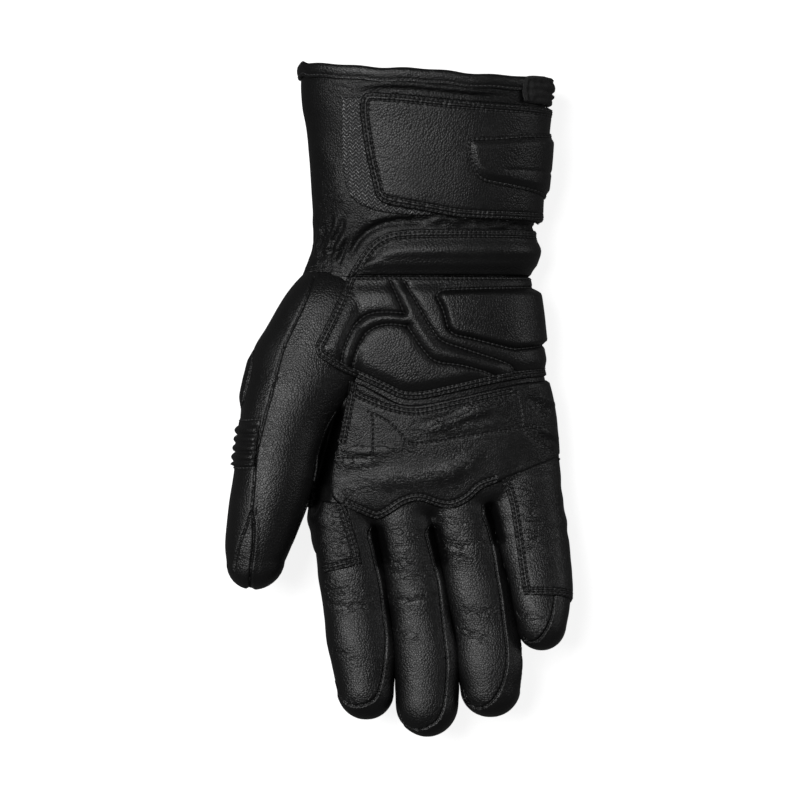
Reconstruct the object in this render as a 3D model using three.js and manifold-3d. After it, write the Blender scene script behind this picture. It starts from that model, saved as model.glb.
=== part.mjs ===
// Winter motorcycle glove for the right hand, lying on its back with the palm up.
// Millimetres. X runs towards the little finger, Y towards the cuff, Z up out of the palm.
// The leather body is hollow: cuff, hand, four fingers and a thumb, each with its own cavity.
// Pads, straps and patches are sewn on, so each is a skin that follows the body's surface.

import * as THREE from 'three';
import { mergeVertices } from 'three/addons/utils/BufferGeometryUtils.js';
import Module from 'manifold-3d';

const wasm = await Module();
wasm.setup();

// Driving dimensions
const wall = 3; // leather, insulation and lining, sewn together
const gap = 0.35; // between neighbouring pieces
const far = 200; // half size of the cutting blocks, past everything
const sleeveSides = 26; // points round the cuff and the hand
const fingerSides = 12; // points round a finger or the thumb
const squareness = 2.35; // exponent of the oval sections: 2 is an ellipse
const wristSeam = 55.3; // Y of the seam between cuff and hand
const sideSeam = 16; // Z of the seam between palm and back
const web = 2.6; // thickness of the webs between the fingers
const tipShare = [0.5, 0.84, 0.985]; // how far along a fingertip's dome its sections stand
const tipLean = 0.5; // the dome keeps this share of the finger's sideways lean
const tipRise = 0.8; // the dome's end stands this much higher than its start

// Sections of the cuff and the hand, from the mouth to the knuckles. The oval reaches down to
// bottom and is cut off flat at floor.
const sleeveRows = [
  { y: 158, left: -45, right: 67, top: 51, bottom: -3, floor: 4.5 },
  { y: 140, left: -45, right: 66, top: 50.5, bottom: -6, floor: 2.3 },
  { y: 122, left: -42.2, right: 63.5, top: 48.5, bottom: -6, floor: 0 },
  { y: 90, left: -39.2, right: 60.8, top: 45.5, bottom: -5.5, floor: 0 },
  { y: 66, left: -40.3, right: 59.4, top: 40.5, bottom: -5, floor: 0 },
  { y: 55.5, left: -42.5, right: 57.6, top: 39, bottom: -5, floor: 0 },
  { y: 45, left: -44, right: 59.6, top: 40.5, bottom: -5, floor: 0 },
  { y: 26, left: -45.5, right: 61.8, top: 41, bottom: -5, floor: 0 },
  { y: 0, left: -45.7, right: 68, top: 38, bottom: -4.5, floor: 0 },
  { y: -18, left: -45.2, right: 70.6, top: 36.5, bottom: -3.5, floor: 0 },
  { y: -36, left: -43.9, right: 71.4, top: 34, bottom: -1, floor: 1.6 },
  { y: -50, left: -41.4, right: 72.6, top: 32.5, bottom: 2, floor: 3.8 },
  { y: -64, left: -40, right: 75, top: 31.5, bottom: 4, floor: 5.2 },
];

// Sections of the fingers and the thumb, from the root to where the tip's dome begins.
// z is the height of the centre line, which rises towards the tip because the fingers curl.
const fingerRows = {
  index: [
    { y: -43, left: -40.6, right: -14, z: 18, depth: 26 },
    { y: -52, left: -41, right: -12.4, z: 18, depth: 27 },
    { y: -79, left: -36.4, right: -6.9, z: 19.6, depth: 25.5 },
    { y: -121, left: -29.9, right: -2.4, z: 24.4, depth: 24 },
    { y: -129, left: -28.1, right: -2.6, z: 25.4, depth: 22.5 },
  ],
  middle: [
    { y: -43, left: -12, right: 12.6, z: 18.5, depth: 26 },
    { y: -52, left: -11.8, right: 13.6, z: 18.5, depth: 27 },
    { y: -79, left: -6.4, right: 19, z: 19.8, depth: 25.5 },
    { y: -121, left: -1.8, right: 25.7, z: 24, depth: 24.5 },
    { y: -135, left: -1.6, right: 26.4, z: 25.8, depth: 23 },
  ],
  ring: [
    { y: -40, left: 14.4, right: 37.6, z: 18.5, depth: 25.5 },
    { y: -50, left: 14.2, right: 38.6, z: 18.5, depth: 26.5 },
    { y: -79, left: 19.6, right: 47.2, z: 19.8, depth: 25.5 },
    { y: -121, left: 26.4, right: 55.2, z: 24, depth: 24 },
    { y: -130, left: 27.2, right: 53.8, z: 25.2, depth: 22.5 },
  ],
  little: [
    { y: -36, left: 39.6, right: 70.6, z: 18, depth: 25 },
    { y: -46, left: 40.2, right: 72, z: 18.2, depth: 26 },
    { y: -65, left: 46, right: 74.8, z: 20.2, depth: 25 },
    { y: -79, left: 49.8, right: 76, z: 22.8, depth: 24 },
    { y: -101, left: 53, right: 74.6, z: 27.8, depth: 22 },
  ],
};
const tipLength = { index: 14.9, middle: 16.3, ring: 12.4, little: 11.4 };

const thumbRows = [
  { y: 58, left: -41, right: -24, z: 20, depth: 24 },
  { y: 45, left: -52.2, right: -24, z: 21, depth: 36 },
  { y: 22.6, left: -64.6, right: -26, z: 23.2, depth: 41 },
  { y: 6.4, left: -69.4, right: -27, z: 25.6, depth: 41 },
  { y: -10, left: -71, right: -31.8, z: 29, depth: 38 },
  { y: -36, left: -74, right: -39, z: 34, depth: 34 },
  { y: -63.4, left: -77.6, right: -48.2, z: 35, depth: 30.5 },
  { y: -72, left: -77, right: -52, z: 35, depth: 28 },
];
const thumbTip = 13.1;
const thumbWeb = -12; // Y where the thumb comes free of the palm
const tipPanelLowest = 33;

// Outlines of the sewn-on pieces, seen from above the palm. A piece that runs past X = 78
// goes on round the little-finger side of the hand, down to its own lowest edge.
const outlines = {
  wristPad: [[-23.2, 55.9], [-17.3, 64.9], [-12.8, 70.3], [-7, 73.9], [-0.2, 75.2], [13.3, 76.1], [85, 76.1],
    [85, 55.9]],
  heelPad: [[-23.6, 55], [-28.1, 43.7], [-35.3, 28.9], [-37.4, 24.4], [-36.1, 19], [-26.8, 13.1], [-6.1, 3.6],
    [0.9, 0.6], [9.5, 0.6], [23.2, 3.2], [44.8, 7.9], [66.4, 10.5], [85, 11.3], [85, 55]],
  palmOverlay: [[-21.8, 12], [-24.1, 0.1], [-26.8, -13.4], [-28.6, -26.9], [-29.5, -35.9], [-28.1, -44],
    [-25, -47.6], [-19.1, -50.8], [-9.2, -53.5], [-3.8, -50.8], [2, -46.7], [8.8, -45.4], [17.8, -48.5],
    [24.5, -48.5], [31.3, -45.4], [36.7, -40], [43.4, -37.3], [62.8, -29.6], [85, -21.5], [85, 12]],
  littlePatch: [[44.8, -36], [47.9, -41.3], [49.7, -50.3], [52, -65.2], [54.2, -80.9], [56, -88.6],
    [85, -88.1], [85, -20], [62.8, -28]],
  indexPatch: [[-35.8, -48.5], [-24.5, -49.9], [-21.8, -56.2], [-19.1, -72.8], [-25, -74.6], [-33.1, -77.3],
    [-37.6, -68.3]],
  hookPatch: [[-25.9, 135.5], [-0.2, 135.5], [17.8, 112.6], [17.8, 82.4], [8.8, 82.4], [-5.6, 83.8],
    [-12.8, 85.6], [-19.6, 88.7], [-23.6, 94.6], [-25.4, 103.6]],
  cuffStrap: [[-15.2, 136.3], [1.1, 135.6], [27.7, 133], [60.5, 131], [85, 130.6], [85, 79.3], [64.1, 79.7],
    [44.8, 80.6], [27.7, 81.5], [14.2, 83.3], [-5.2, 86.8], [-10.6, 90.7], [-14.9, 107.9], [-17.6, 126.4],
    [-17.3, 134.3]],
  strapTab: [[30.4, 116.5], [34.3, 116.6], [54.1, 118.4], [65.9, 119.8], [85, 121.6], [85, 90.5],
    [63.2, 90.5], [54.1, 93.4], [44.2, 95.4], [36.2, 97.3], [31.7, 102.7], [29.7, 111.2]],
  thumbRibs: [[-85, -8], [-60.9, -8.9], [-63, -16.6], [-64.6, -29.6], [-85, -30.5]],
  thumbTipPanel: [[-65.7, -50.4], [-68.8, -57.1], [-71.6, -65.2], [-74, -72.8], [-77, -88], [-67.2, -88],
    [-66.2, -73.7], [-65.4, -66.5], [-65.3, -56]],
};

// Padding and leather thicknesses, each measured from the body's surface outwards
const layers = {
  wristPad: { from: gap, to: 3.4, lowest: 13 },
  heelPad: { from: gap, to: 3.6, lowest: 13 },
  palmOverlay: { from: gap, to: 1.7, lowest: 15 },
  littlePatch: { from: gap, to: 1.7, lowest: 15 },
  indexPatch: { from: gap, to: 1.7, lowest: 20 },
  hookPatch: { from: gap, to: 2, lowest: 20 },
  cuffStrap: { from: 2.35, to: 4.3, lowest: 12 },
  strapTab: { from: 4.65, to: 6.8, lowest: 16 },
};

// Stitched channels pressed into the heel pad, each a line of points and a width
const channelDepth = 1.5;
const channels = [
  { width: 2, line: [[-9.5, 58], [3.2, 32.6], [10.6, 20.3], [16, 16.9], [47, 9]] },
  { width: 2, line: [[-1.5, 58], [19.5, 25.6], [34.9, 21.6], [56.6, 10.8]] },
  { width: 2, line: [[3.2, 32.6], [-13.4, 32], [-20.2, 25.8], [-24.8, 12]] },
  { width: 2, line: [[7.4, 27], [-8.5, 25.2], [-13.6, 19.8], [-17, 8]] },
  { width: 2, line: [[85, 50], [17.6, 46], [25.6, 29.8], [45.5, 23.8], [85, 20.2]] },
];

// The mouth's edge slants down towards the little-finger side; the hem is a band along it
const mouthLeft = { x: -50, y: 151.4 };
const mouthRight = { x: 75, y: 143.2 };
const hem = { width: 7, from: gap, to: 1.7 };
const gusset = { left: 54.5, near: 132.2, from: gap, to: 4, lowest: 20 };
const knuckleLeft = { x: -60, y: -58.4 };
const knuckleRight = { x: 90, y: -45.6 };

// Stretch ribs across the back of the thumb's joint
const ribs = { count: 5, first: -11, pitch: 4.3, width: 3.1, base: 1.2, height: 2.5, lowest: 8 };
const thumbPad = { from: gap, to: 2.6, near: -2.2, nearRight: -66, distant: 22.4, distantRight: -60,
  lowest: 8, highest: 36 };
const fourchetteShare = 0.17; // half height of the side strips, as a share of the finger's depth
const fourchetteTilt = 0.16; // the little-finger side of each strip stands higher

function solidOf(geometry) {
  const bare = geometry.index ? geometry.toNonIndexed() : geometry;
  bare.deleteAttribute('normal');
  bare.deleteAttribute('uv');
  const merged = mergeVertices(bare, 1e-4);
  return new wasm.Manifold(new wasm.Mesh({
    numProp: 3,
    vertProperties: new Float32Array(merged.attributes.position.array),
    triVerts: new Uint32Array(merged.index.array),
  }));
}

// A closed solid through oval sections that stand across Y. grow moves its whole surface out.
function loft(rows, sides, grow) {
  const geometry = new THREE.CylinderGeometry(1, 1, 1, sides, rows.length - 1);
  const place = geometry.attributes.position;
  const power = (v) => Math.sign(v) * Math.abs(v) ** (2 / squareness);
  for (let i = 0; i < place.count; i += 1) {
    const row = rows[Math.round((0.5 - place.getY(i)) * (rows.length - 1))];
    const scale = row.scale ?? 1;
    const x = row.x + power(place.getX(i)) * (row.halfWidth + grow) * scale;
    const z = row.z + power(place.getZ(i)) * (row.halfDepth + grow) * scale;
    place.setXYZ(i, x, row.y - (row.reach ?? 0) * grow, Math.max(z, row.floor - grow));
  }
  return solidOf(geometry);
}

function sleeve(grow) {
  const rows = sleeveRows.map((row) => ({
    y: row.y,
    x: (row.left + row.right) / 2,
    z: (row.top + row.bottom) / 2,
    halfWidth: (row.right - row.left) / 2,
    halfDepth: (row.top - row.bottom) / 2,
    floor: row.floor,
  }));
  return loft(rows, sleeveSides, grow);
}

// A finger: its sections, then a dome whose sections shrink like a quarter of an ellipse
function digit(table, length, grow) {
  const rows = table.map((row) => ({
    y: row.y,
    x: (row.left + row.right) / 2,
    z: row.z,
    halfWidth: (row.right - row.left) / 2,
    halfDepth: row.depth / 2,
    floor: -far,
  }));
  const last = rows[rows.length - 1];
  const before = rows[rows.length - 2];
  const lean = (last.x - before.x) / (last.y - before.y);
  for (const share of tipShare) {
    rows.push({
      ...last,
      y: last.y - length * share,
      x: last.x - lean * length * share * tipLean,
      z: last.z + share * tipRise,
      reach: share,
      scale: Math.sqrt(1 - share * share),
    });
  }
  return loft(rows, fingerSides, grow);
}

const names = Object.keys(fingerRows);
const finger = (name, grow) => digit(fingerRows[name], tipLength[name], grow);
const thumb = (grow) => digit(thumbRows, thumbTip, grow);
const fingers = (grow) => names.map((name) => finger(name, grow));
const glove = (grow) => wasm.Manifold.union([sleeve(grow), thumb(grow), ...fingers(grow)]);

// A block with the given outline in X and Y, from z = low to z = high
function prism(points, low = -far, high = far) {
  const shape = new THREE.Shape(points.map(([x, y]) => new THREE.Vector2(x, y)));
  const geometry = new THREE.ExtrudeGeometry(shape, { depth: high - low, bevelEnabled: false });
  return solidOf(geometry.translate(0, 0, low));
}

// Everything on the cuff's side of a slanting line through two points, moved towards +Y by shift
const cuffSide = (a, b, shift = 0) => prism([[a.x, a.y + shift], [b.x, b.y + shift], [b.x, far], [a.x, far]]);
const fingerSide = (a, b, shift = 0) => prism(
  [[a.x, a.y + shift], [a.x, -far], [b.x, -far], [b.x, b.y + shift]]);

// A strip along a line of points, seen from above
function groove({ width, line }) {
  const half = width / 2;
  const pieces = [];
  for (let i = 1; i < line.length; i += 1) {
    const [ax, ay] = line[i - 1];
    const [bx, by] = line[i];
    const length = Math.hypot(bx - ax, by - ay);
    const [ux, uy] = [((bx - ax) / length) * half, ((by - ay) / length) * half];
    pieces.push(prism([[ax - ux + uy, ay - uy - ux], [bx + ux + uy, by + uy - ux],
      [bx + ux - uy, by + uy + ux], [ax - ux - uy, ay - uy + ux]]));
  }
  return wasm.Manifold.union(pieces);
}

const skinCache = new Map();
function gloveGrown(grow) {
  if (!skinCache.has(grow)) skinCache.set(grow, glove(grow));
  return skinCache.get(grow);
}

// A sewn-on piece: the space between two grown copies of the body, inside its outline
function sewnOn(name) {
  const { from, to, lowest } = layers[name];
  return prism(outlines[name], lowest, far).intersect(gloveGrown(to).subtract(gloveGrown(from)));
}

const shape = {};

// Cuff and hand
const sleeveOuter = sleeve(0);
const sleeveInner = sleeve(-wall);
const belowMouth = fingerSide(mouthLeft, mouthRight);
const cuffRange = cuffSide({ x: -far, y: wristSeam }, { x: far, y: wristSeam });
const belowCuff = fingerSide({ x: -far, y: wristSeam - gap }, { x: far, y: wristSeam - gap });
const palmHalf = prism([[-far, -far], [far, -far], [far, far], [-far, far]], sideSeam, far);
const backHalf = prism([[-far, -far], [far, -far], [far, far], [-far, far]], -far, sideSeam - gap);
const thumbInner = thumb(-wall);
const thumbFree = fingerSide({ x: -far, y: thumbWeb }, { x: far, y: thumbWeb });
const thumbHole = thumbInner.subtract(thumbFree);
shape.cuff_shell = sleeveOuter.intersect(cuffRange).intersect(belowMouth).subtract(sleeveInner)
  .subtract(thumb(gap));

const handRange = cuffSide(knuckleLeft, knuckleRight).intersect(belowCuff);
let hand = sleeveOuter.intersect(handRange)
  .subtract(sleeveInner.intersect(cuffSide(knuckleLeft, knuckleRight, web)))
  .subtract(thumbHole);
for (const name of names) hand = hand.subtract(finger(name, -wall));
shape.palm_panel = hand.intersect(palmHalf);
shape.back_panel = hand.intersect(backHalf);

// The half of space above a finger's seam, which follows its centre line and leans to one side
function aboveSeam(table, share, shift) {
  const rows = [{ ...table[0], y: 0 }, ...table, { ...table[table.length - 1], y: -far }];
  const profile = rows.map((row) => [row.y, row.z + row.depth * share + shift]);
  const ends = [[-far, far], [0, far]];
  const outline = new THREE.Shape([...profile, ...ends].map(([y, z]) => new THREE.Vector2(y, z)));
  const geometry = new THREE.ExtrudeGeometry(outline, { depth: far, bevelEnabled: false });
  geometry.translate(0, 0, -far / 2);
  const toSide = new THREE.Matrix4().makeBasis(
    new THREE.Vector3(0, 1, 0), new THREE.Vector3(0, 0, 1), new THREE.Vector3(1, 0, 0));
  geometry.applyMatrix4(toSide);
  const middle = table[Math.floor(table.length / 2)];
  const axis = (middle.left + middle.right) / 2;
  const place = geometry.attributes.position;
  for (let i = 0; i < place.count; i += 1) {
    place.setZ(i, place.getZ(i) + (place.getX(i) - axis) * fourchetteTilt);
  }
  return solidOf(geometry);
}

// Fingers: palm-side front, side strip round the finger (fourchette) and back, which wraps the tip
const fingerRange = fingerSide(knuckleLeft, knuckleRight, -gap);
names.forEach((name, i) => {
  let stall = finger(name, 0).intersect(fingerRange).subtract(finger(name, -wall));
  if (i > 0) stall = stall.subtract(finger(names[i - 1], gap));
  const rows = fingerRows[name];
  const frontZone = aboveSeam(rows, fourchetteShare, 0);
  const frontAndGap = aboveSeam(rows, fourchetteShare, -gap);
  const notBack = aboveSeam(rows, -fourchetteShare, 0);
  const notBackAndGap = aboveSeam(rows, -fourchetteShare, -gap);
  shape[`${name}_front`] = stall.intersect(frontZone);
  shape[`${name}_fourchette`] = stall.subtract(frontAndGap).intersect(notBack);
  shape[`${name}_back`] = stall.subtract(notBackAndGap);
});

// Thumb: a palm-side panel, an outer panel and a wedge at the tip, meeting along a seam
const thumbSeam = [[-34, 60], [-38.5, 53.6], [-43.4, 41.9], [-48.4, 31.6], [-52, 23.5], [-55.4, 10.4],
  [-57.8, 1], [-60.5, -8.9], [-64, -24], [-64.7, -33.7], [-65.7, -49], [-65.4, -66.5], [-66.4, -73.7],
  [-67.2, -90]];
const thumbWall = thumb(0).subtract(thumbInner).subtract(sleeve(gap)).intersect(belowCuff);
const innerZone = prism([...thumbSeam, [far, -90], [far, 60]]);
const tipZone = prism(outlines.thumbTipPanel, tipPanelLowest, far);
const outerThumb = thumbWall.subtract(innerZone).subtract(innerZone.translate(-gap, 0, 0));
shape.thumb_inner_panel = thumbWall.intersect(innerZone);
shape.thumb_outer_panel = outerThumb.subtract(tipZone).subtract(tipZone.translate(-gap, gap, -gap));
shape.thumb_tip_panel = outerThumb.intersect(tipZone);

// Raised pieces on the thumb
const onThumb = (from, to) => thumb(to).subtract(thumb(from));
const ribZone = prism(outlines.thumbRibs, ribs.lowest, far);
const ribSlabs = [];
for (let i = 0; i < ribs.count; i += 1) {
  const middle = ribs.first - i * ribs.pitch;
  const low = middle - ribs.width / 2;
  const high = middle + ribs.width / 2;
  ribSlabs.push(prism([[-far, low], [0, low], [0, high], [-far, high]]));
}
const raisedRibs = onThumb(gap, ribs.height).intersect(wasm.Manifold.union(ribSlabs));
shape.thumb_ribs = onThumb(gap, ribs.base).add(raisedRibs).intersect(ribZone);
const thumbPadZone = prism([[-far, thumbPad.near], [thumbPad.nearRight, thumbPad.near],
  [thumbPad.distantRight, thumbPad.distant], [-far, thumbPad.distant]], thumbPad.lowest, thumbPad.highest);
shape.thumb_back_pad = onThumb(thumbPad.from, thumbPad.to).intersect(thumbPadZone).subtract(sleeve(gap));

// Hem round the mouth, and the folded gusset at its little-finger corner
const hemZone = belowMouth.subtract(fingerSide(mouthLeft, mouthRight, -hem.width));
const gussetZone = prism([[gusset.left, gusset.near], [far, gusset.near], [far, far], [gusset.left, far]],
  gusset.lowest, far);
shape.hem = sleeve(hem.to).subtract(sleeve(hem.from)).intersect(hemZone)
  .subtract(gussetZone).subtract(gussetZone.translate(-gap, -gap, -gap));
shape.gusset_fold = sleeve(gusset.to).subtract(sleeve(gusset.from)).intersect(gussetZone)
  .intersect(belowMouth);

// Sewn-on pads, patches and straps, each kept clear of the piece that covers its edge
shape.wrist_pad = sewnOn('wristPad');
const channelFloor = gloveGrown(layers.heelPad.to - channelDepth);
const pressed = wasm.Manifold.union(channels.map(groove)).subtract(channelFloor);
shape.heel_pad = sewnOn('heelPad').subtract(pressed);
const heelZone = prism(outlines.heelPad);
const overlayZone = prism(outlines.palmOverlay);
const clearOf = (solid, zone, dx, dy) => solid.subtract(zone).subtract(zone.translate(dx, dy, 0));
shape.palm_overlay = clearOf(sewnOn('palmOverlay'), heelZone, 0, -gap);
shape.little_finger_patch = clearOf(sewnOn('littlePatch'), overlayZone, 0, -gap);
shape.index_patch = clearOf(sewnOn('indexPatch'), overlayZone, -gap, -gap);
shape.hook_patch = sewnOn('hookPatch');
shape.cuff_strap = sewnOn('cuffStrap');
shape.strap_tab = sewnOn('strapTab');

// Finishes: black leather throughout, with textile only on the hook patch and the gusset
const leather = () => new THREE.MeshStandardMaterial({ color: 0x17171a, roughness: 0.52, metalness: 0 });
const softLeather = () => new THREE.MeshStandardMaterial({ color: 0x1b1b1d, roughness: 0.46, metalness: 0 });
const textile = () => new THREE.MeshStandardMaterial({ color: 0x0e0e10, roughness: 0.95, metalness: 0 });
const finishOf = {
  hook_patch: textile,
  gusset_fold: textile,
  palm_overlay: softLeather,
  little_finger_patch: softLeather,
  index_patch: softLeather,
};

// The largest closed body of a cut piece: slivers left where two cuts meet are dropped
function mainBody(solid) {
  const bodies = solid.decompose();
  return bodies.reduce((best, body) => (body.volume() > best.volume() ? body : best));
}

const group = new THREE.Group();
for (const [name, solid] of Object.entries(shape)) {
  const { vertProperties, triVerts } = mainBody(solid).getMesh();
  const geometry = new THREE.BufferGeometry();
  geometry.setAttribute('position', new THREE.BufferAttribute(new Float32Array(vertProperties), 3));
  geometry.setIndex(new THREE.BufferAttribute(new Uint32Array(triVerts), 1));
  const mesh = new THREE.Mesh(geometry, (finishOf[name] ?? leather)());
  mesh.name = name;
  group.add(mesh);
}

export default group;
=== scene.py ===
# Winter motorcycle glove for the right hand, lying on its back with the palm up.
# X runs towards the little finger, Y towards the cuff's mouth and Z up out of the palm, as in the frame.
# New pieces are shaped in millimetres and made metres once, when each is finished.

import math

import bmesh
import bpy
import numpy as np
from mathutils import Matrix, Vector, noise
from mathutils.bvhtree import BVHTree


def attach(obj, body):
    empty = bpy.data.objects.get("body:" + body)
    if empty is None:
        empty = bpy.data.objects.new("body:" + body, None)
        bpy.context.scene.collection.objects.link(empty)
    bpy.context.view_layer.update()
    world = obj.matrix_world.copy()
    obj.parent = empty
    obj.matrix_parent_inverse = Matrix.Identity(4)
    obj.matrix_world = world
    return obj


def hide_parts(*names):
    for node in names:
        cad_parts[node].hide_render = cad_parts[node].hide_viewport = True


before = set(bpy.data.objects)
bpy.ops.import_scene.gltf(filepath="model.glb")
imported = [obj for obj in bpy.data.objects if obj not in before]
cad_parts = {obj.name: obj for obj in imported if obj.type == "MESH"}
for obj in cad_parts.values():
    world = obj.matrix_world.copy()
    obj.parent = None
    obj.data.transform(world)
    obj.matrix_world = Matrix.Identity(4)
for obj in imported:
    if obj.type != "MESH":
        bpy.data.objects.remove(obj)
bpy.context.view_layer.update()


# Cuff
# The gauntlet is one flared tube of cowhide, pressed flat where it lies. It is gathered over the
# wrist on the thumb's side, and slack leather folds under the strap's lower edge.

MM = 0.001
CLEAR = 90
SQUARE = 2.35
WRIST_Y = 55.4
WALL = 2.2
CUFF_STEP = 1.0
CUFF_SIDES = 288
MOUTH_LEFT = (-50.0, 151.4)
MOUTH_RIGHT = (75.0, 143.2)
HEM_REACH = 1.2
CUFF_MIDDLE = Vector((10, 0, 22))

# Ovals across the cuff and the hand: y, left, right, top, bottom, floor
OVALS = [
    (158, -45.6, 67, 51, -3, 4.5),
    (149, -44.6, 66.5, 50.8, -5, 3.2),
    (140, -44.6, 66, 50.5, -6, 2.3),
    (131, -43.8, 64.8, 49.6, -6, 0.9),
    (122, -42.1, 63.5, 48.5, -6, 0),
    (106, -40.4, 62.1, 47, -6, 0),
    (90, -39.3, 60.8, 45.5, -5.5, 0),
    (80, -39.1, 60.4, 43.5, -5, 0),
    (71, -39.6, 59.9, 41.5, -5, 0),
    (63, -41.5, 58.9, 39.8, -5, 0),
    (55.5, -44.0, 57.6, 39, -5, 0),
    (45, -44, 59.6, 40.5, -5, 0),
    (26, -45.5, 61.8, 41, -5, 0),
    (12, -45.6, 64.6, 40, -5, 0),
    (0, -44.2, 68, 38, -4.5, 0),
    (-18, -42.4, 70.2, 36.5, -3.5, 0),
    (-32, -40.6, 70.9, 34.6, -1.6, 1.1),
    (-42, -39.4, 71.8, 33.2, 0.4, 2.7),
    (-47, -36.5, 70.5, 31.6, 2.4, 4.2),
    (-50.5, -31, 66, 28.5, 6, 6),
]

# Gathers at the wrist on the thumb's side, as seen from above: line, depth and width
GATHERS = [
    ([(-36.4, 84), (-37.8, 76), (-39.6, 68), (-40.8, 62)], 0.8, 1.1),
    ([(-33.2, 80), (-34.8, 74), (-37.4, 67)], 1.4, 1.1),
    ([(-30.4, 85), (-31.0, 79), (-32.8, 72), (-36.2, 63)], 1.1, 1.3),
    ([(-27.6, 77), (-29.8, 71), (-32.2, 64)], 1.4, 1.0),
    ([(-25.8, 82), (-26.4, 76), (-28.8, 69)], 1.0, 1.2),
    ([(-23.2, 73), (-25.4, 67), (-28.4, 60)], 1.4, 1.1),
    ([(-41, 66), (-36, 64), (-31, 66.4), (-26, 64.8)], 0.5, 1.1),
    ([(-38, 73), (-33, 70.4), (-28, 73.6)], 0.4, 1.2),
]
# Finely wrinkled leather: line, strength and width
CUFF_WRINKLES = [
    ([(-30, 86), (-34, 72), (-38, 58)], 0.8, 7), ([(-24, 66), (-10, 80), (60, 79)], 0.7, 4),
    ([(-28, 138), (0, 140.5), (50, 136)], 0.5, 4), ([(-34, 112), (-30, 92)], 0.3, 7),
]
# Slack leather under the strap's lower edge and over its upper edge, the ridges with depths below nothing
SLACK = [
    ([(-25, 60), (-21.8, 67), (-16.5, 73.6), (-8.4, 78.0), (2, 79.6), (12, 79.4), (18, 79.9)], 2.2, 1.7),
    ([(-16, 79), (-6, 81.8), (8, 82.6)], -0.8, 1.6),
    ([(8, 77.6), (20, 80.6), (31, 78.4)], -0.9, 1.2),
    ([(24, 80.4), (34, 77.9), (46, 79.6)], 1.2, 0.9),
    ([(30, 77.6), (42, 77.8), (53, 80.4)], -1.2, 1.1),
    ([(44, 79.9), (54, 77.6), (64, 78.8)], 1.2, 1.0),
    ([(52, 81), (60, 79.4), (68, 80.2)], -1.0, 1.1),
    ([(-22, 136), (-16, 139.8), (0, 140.4), (22, 138.2), (44, 136.2)], -1.3, 1.5),
    ([(-12, 138.2), (8, 137.6), (30, 135.6), (52, 134.4)], 0.8, 0.9),
    ([(-40, 118), (-30, 104), (-27, 92), (-20, 86)], -0.5, 4.0),
]


def flow(rows, step):
    """A table's rows, with more between them on a smooth curve; the first column sets the spacing."""
    rows = np.array(rows, float)
    last = len(rows) - 1
    made = []
    for i in range(last):
        a, b, c, d = rows[max(i - 1, 0)], rows[i], rows[i + 1], rows[min(i + 2, last)]
        count = max(1, round(float(np.linalg.norm((c - b)[:2])) / step))
        for t in np.arange(count) / count:
            bend = (2 * a - 5 * b + 4 * c - d) * t * t + (3 * b - 3 * c + d - a) * t ** 3
            made.append(0.5 * (2 * b + (c - a) * t + bend))
    made.append(rows[last])
    return np.array(made)


def on_oval(row, turn, grow=0.0, square=SQUARE):
    """Points at the given turns on an oval that is cut off flat at its floor."""
    y, left, right, top, bottom, floor = row[:6]
    c, s = np.cos(turn), np.sin(turn)
    x = (left + right) / 2 + ((right - left) / 2 + grow) * np.sign(c) * np.abs(c) ** (2 / square)
    z = (top + bottom) / 2 + ((top - bottom) / 2 + grow) * np.sign(s) * np.abs(s) ** (2 / square)
    return np.stack([x, np.full_like(x, y), np.maximum(z, floor - grow)], axis=-1)


def even_turns(row, sides):
    """Turns that stand at equal distances round an oval."""
    fine = np.linspace(0, 2 * math.pi, 2401)
    steps = np.linalg.norm(np.diff(on_oval(row, fine), axis=0), axis=1)
    travelled = np.concatenate([[0], np.cumsum(steps)])
    return np.interp(np.arange(sides) / sides * travelled[-1], travelled, fine)


def ring_edges(ring):
    return [e for e in {e for v in ring for e in v.link_edges} if set(e.verts) <= set(ring)]


def loft(bm, rings):
    """A tube through rings of points, open at both ends. Returns its first and last ring."""
    first = bmesh.ops.create_circle(bm, segments=len(rings[0]), radius=1)["verts"]
    ring = first
    for number, points in enumerate(rings):
        if number:
            geom = bmesh.ops.extrude_edge_only(bm, edges=ring_edges(ring))["geom"]
            made = {v for v in geom if isinstance(v, bmesh.types.BMVert)}
            ring = [next(e.other_vert(v) for e in v.link_edges if e.other_vert(v) in made) for v in ring]
        for vert, point in zip(ring, points):
            vert.co = point
    return first, ring


def away(points, line):
    """How far each point of a plane is from a line, how far along the line that is, and its length."""
    line = np.array(line, float)
    best = np.full(len(points), 1e9)
    along = np.zeros(len(points))
    start = 0.0
    for a, b in zip(line[:-1], line[1:]):
        run = b - a
        length = float(np.linalg.norm(run)) or 1e-9
        t = np.clip((points - a) @ run / length ** 2, 0, 1)
        d = np.linalg.norm(points - a - t[:, None] * run, axis=1)
        closer = d < best
        best[closer] = d[closer]
        along[closer] = start + t[closer] * length
        start += length
    return best, along, start


def smooth(t):
    t = np.clip(t, 0, 1)
    return t * t * (3 - 2 * t)


def bell(distance, width):
    """1 at no distance, and less and less within about a width of it."""
    return np.exp(-(distance / width) ** 2)


def fold(points, line, depth, width, welt=0.0, fade=0.15):
    """The lift of a crease along a line: a groove, with a raised welt on both sides if it has one."""
    d, along, length = away(points, line)
    ends = smooth(along / length / fade) * smooth((1 - along / length) / fade)
    return ends * (-depth * bell(d, width) + welt * bell(d - 2.1 * width, width))


def coordinates(bm):
    return np.array([v.co[:] for v in bm.verts])


def outward(bm):
    """The way out at each point, from the faces round it by their area, so that slivers don't count."""
    bm.normal_update()
    weighted = {face: face.normal * face.calc_area() for face in bm.faces}
    return np.array([sum((weighted[f] for f in v.link_faces), Vector()).normalized()[:] for v in bm.verts])


def settle(bm, points):
    for vert, point in zip(bm.verts, points):
        vert.co = point


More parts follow.
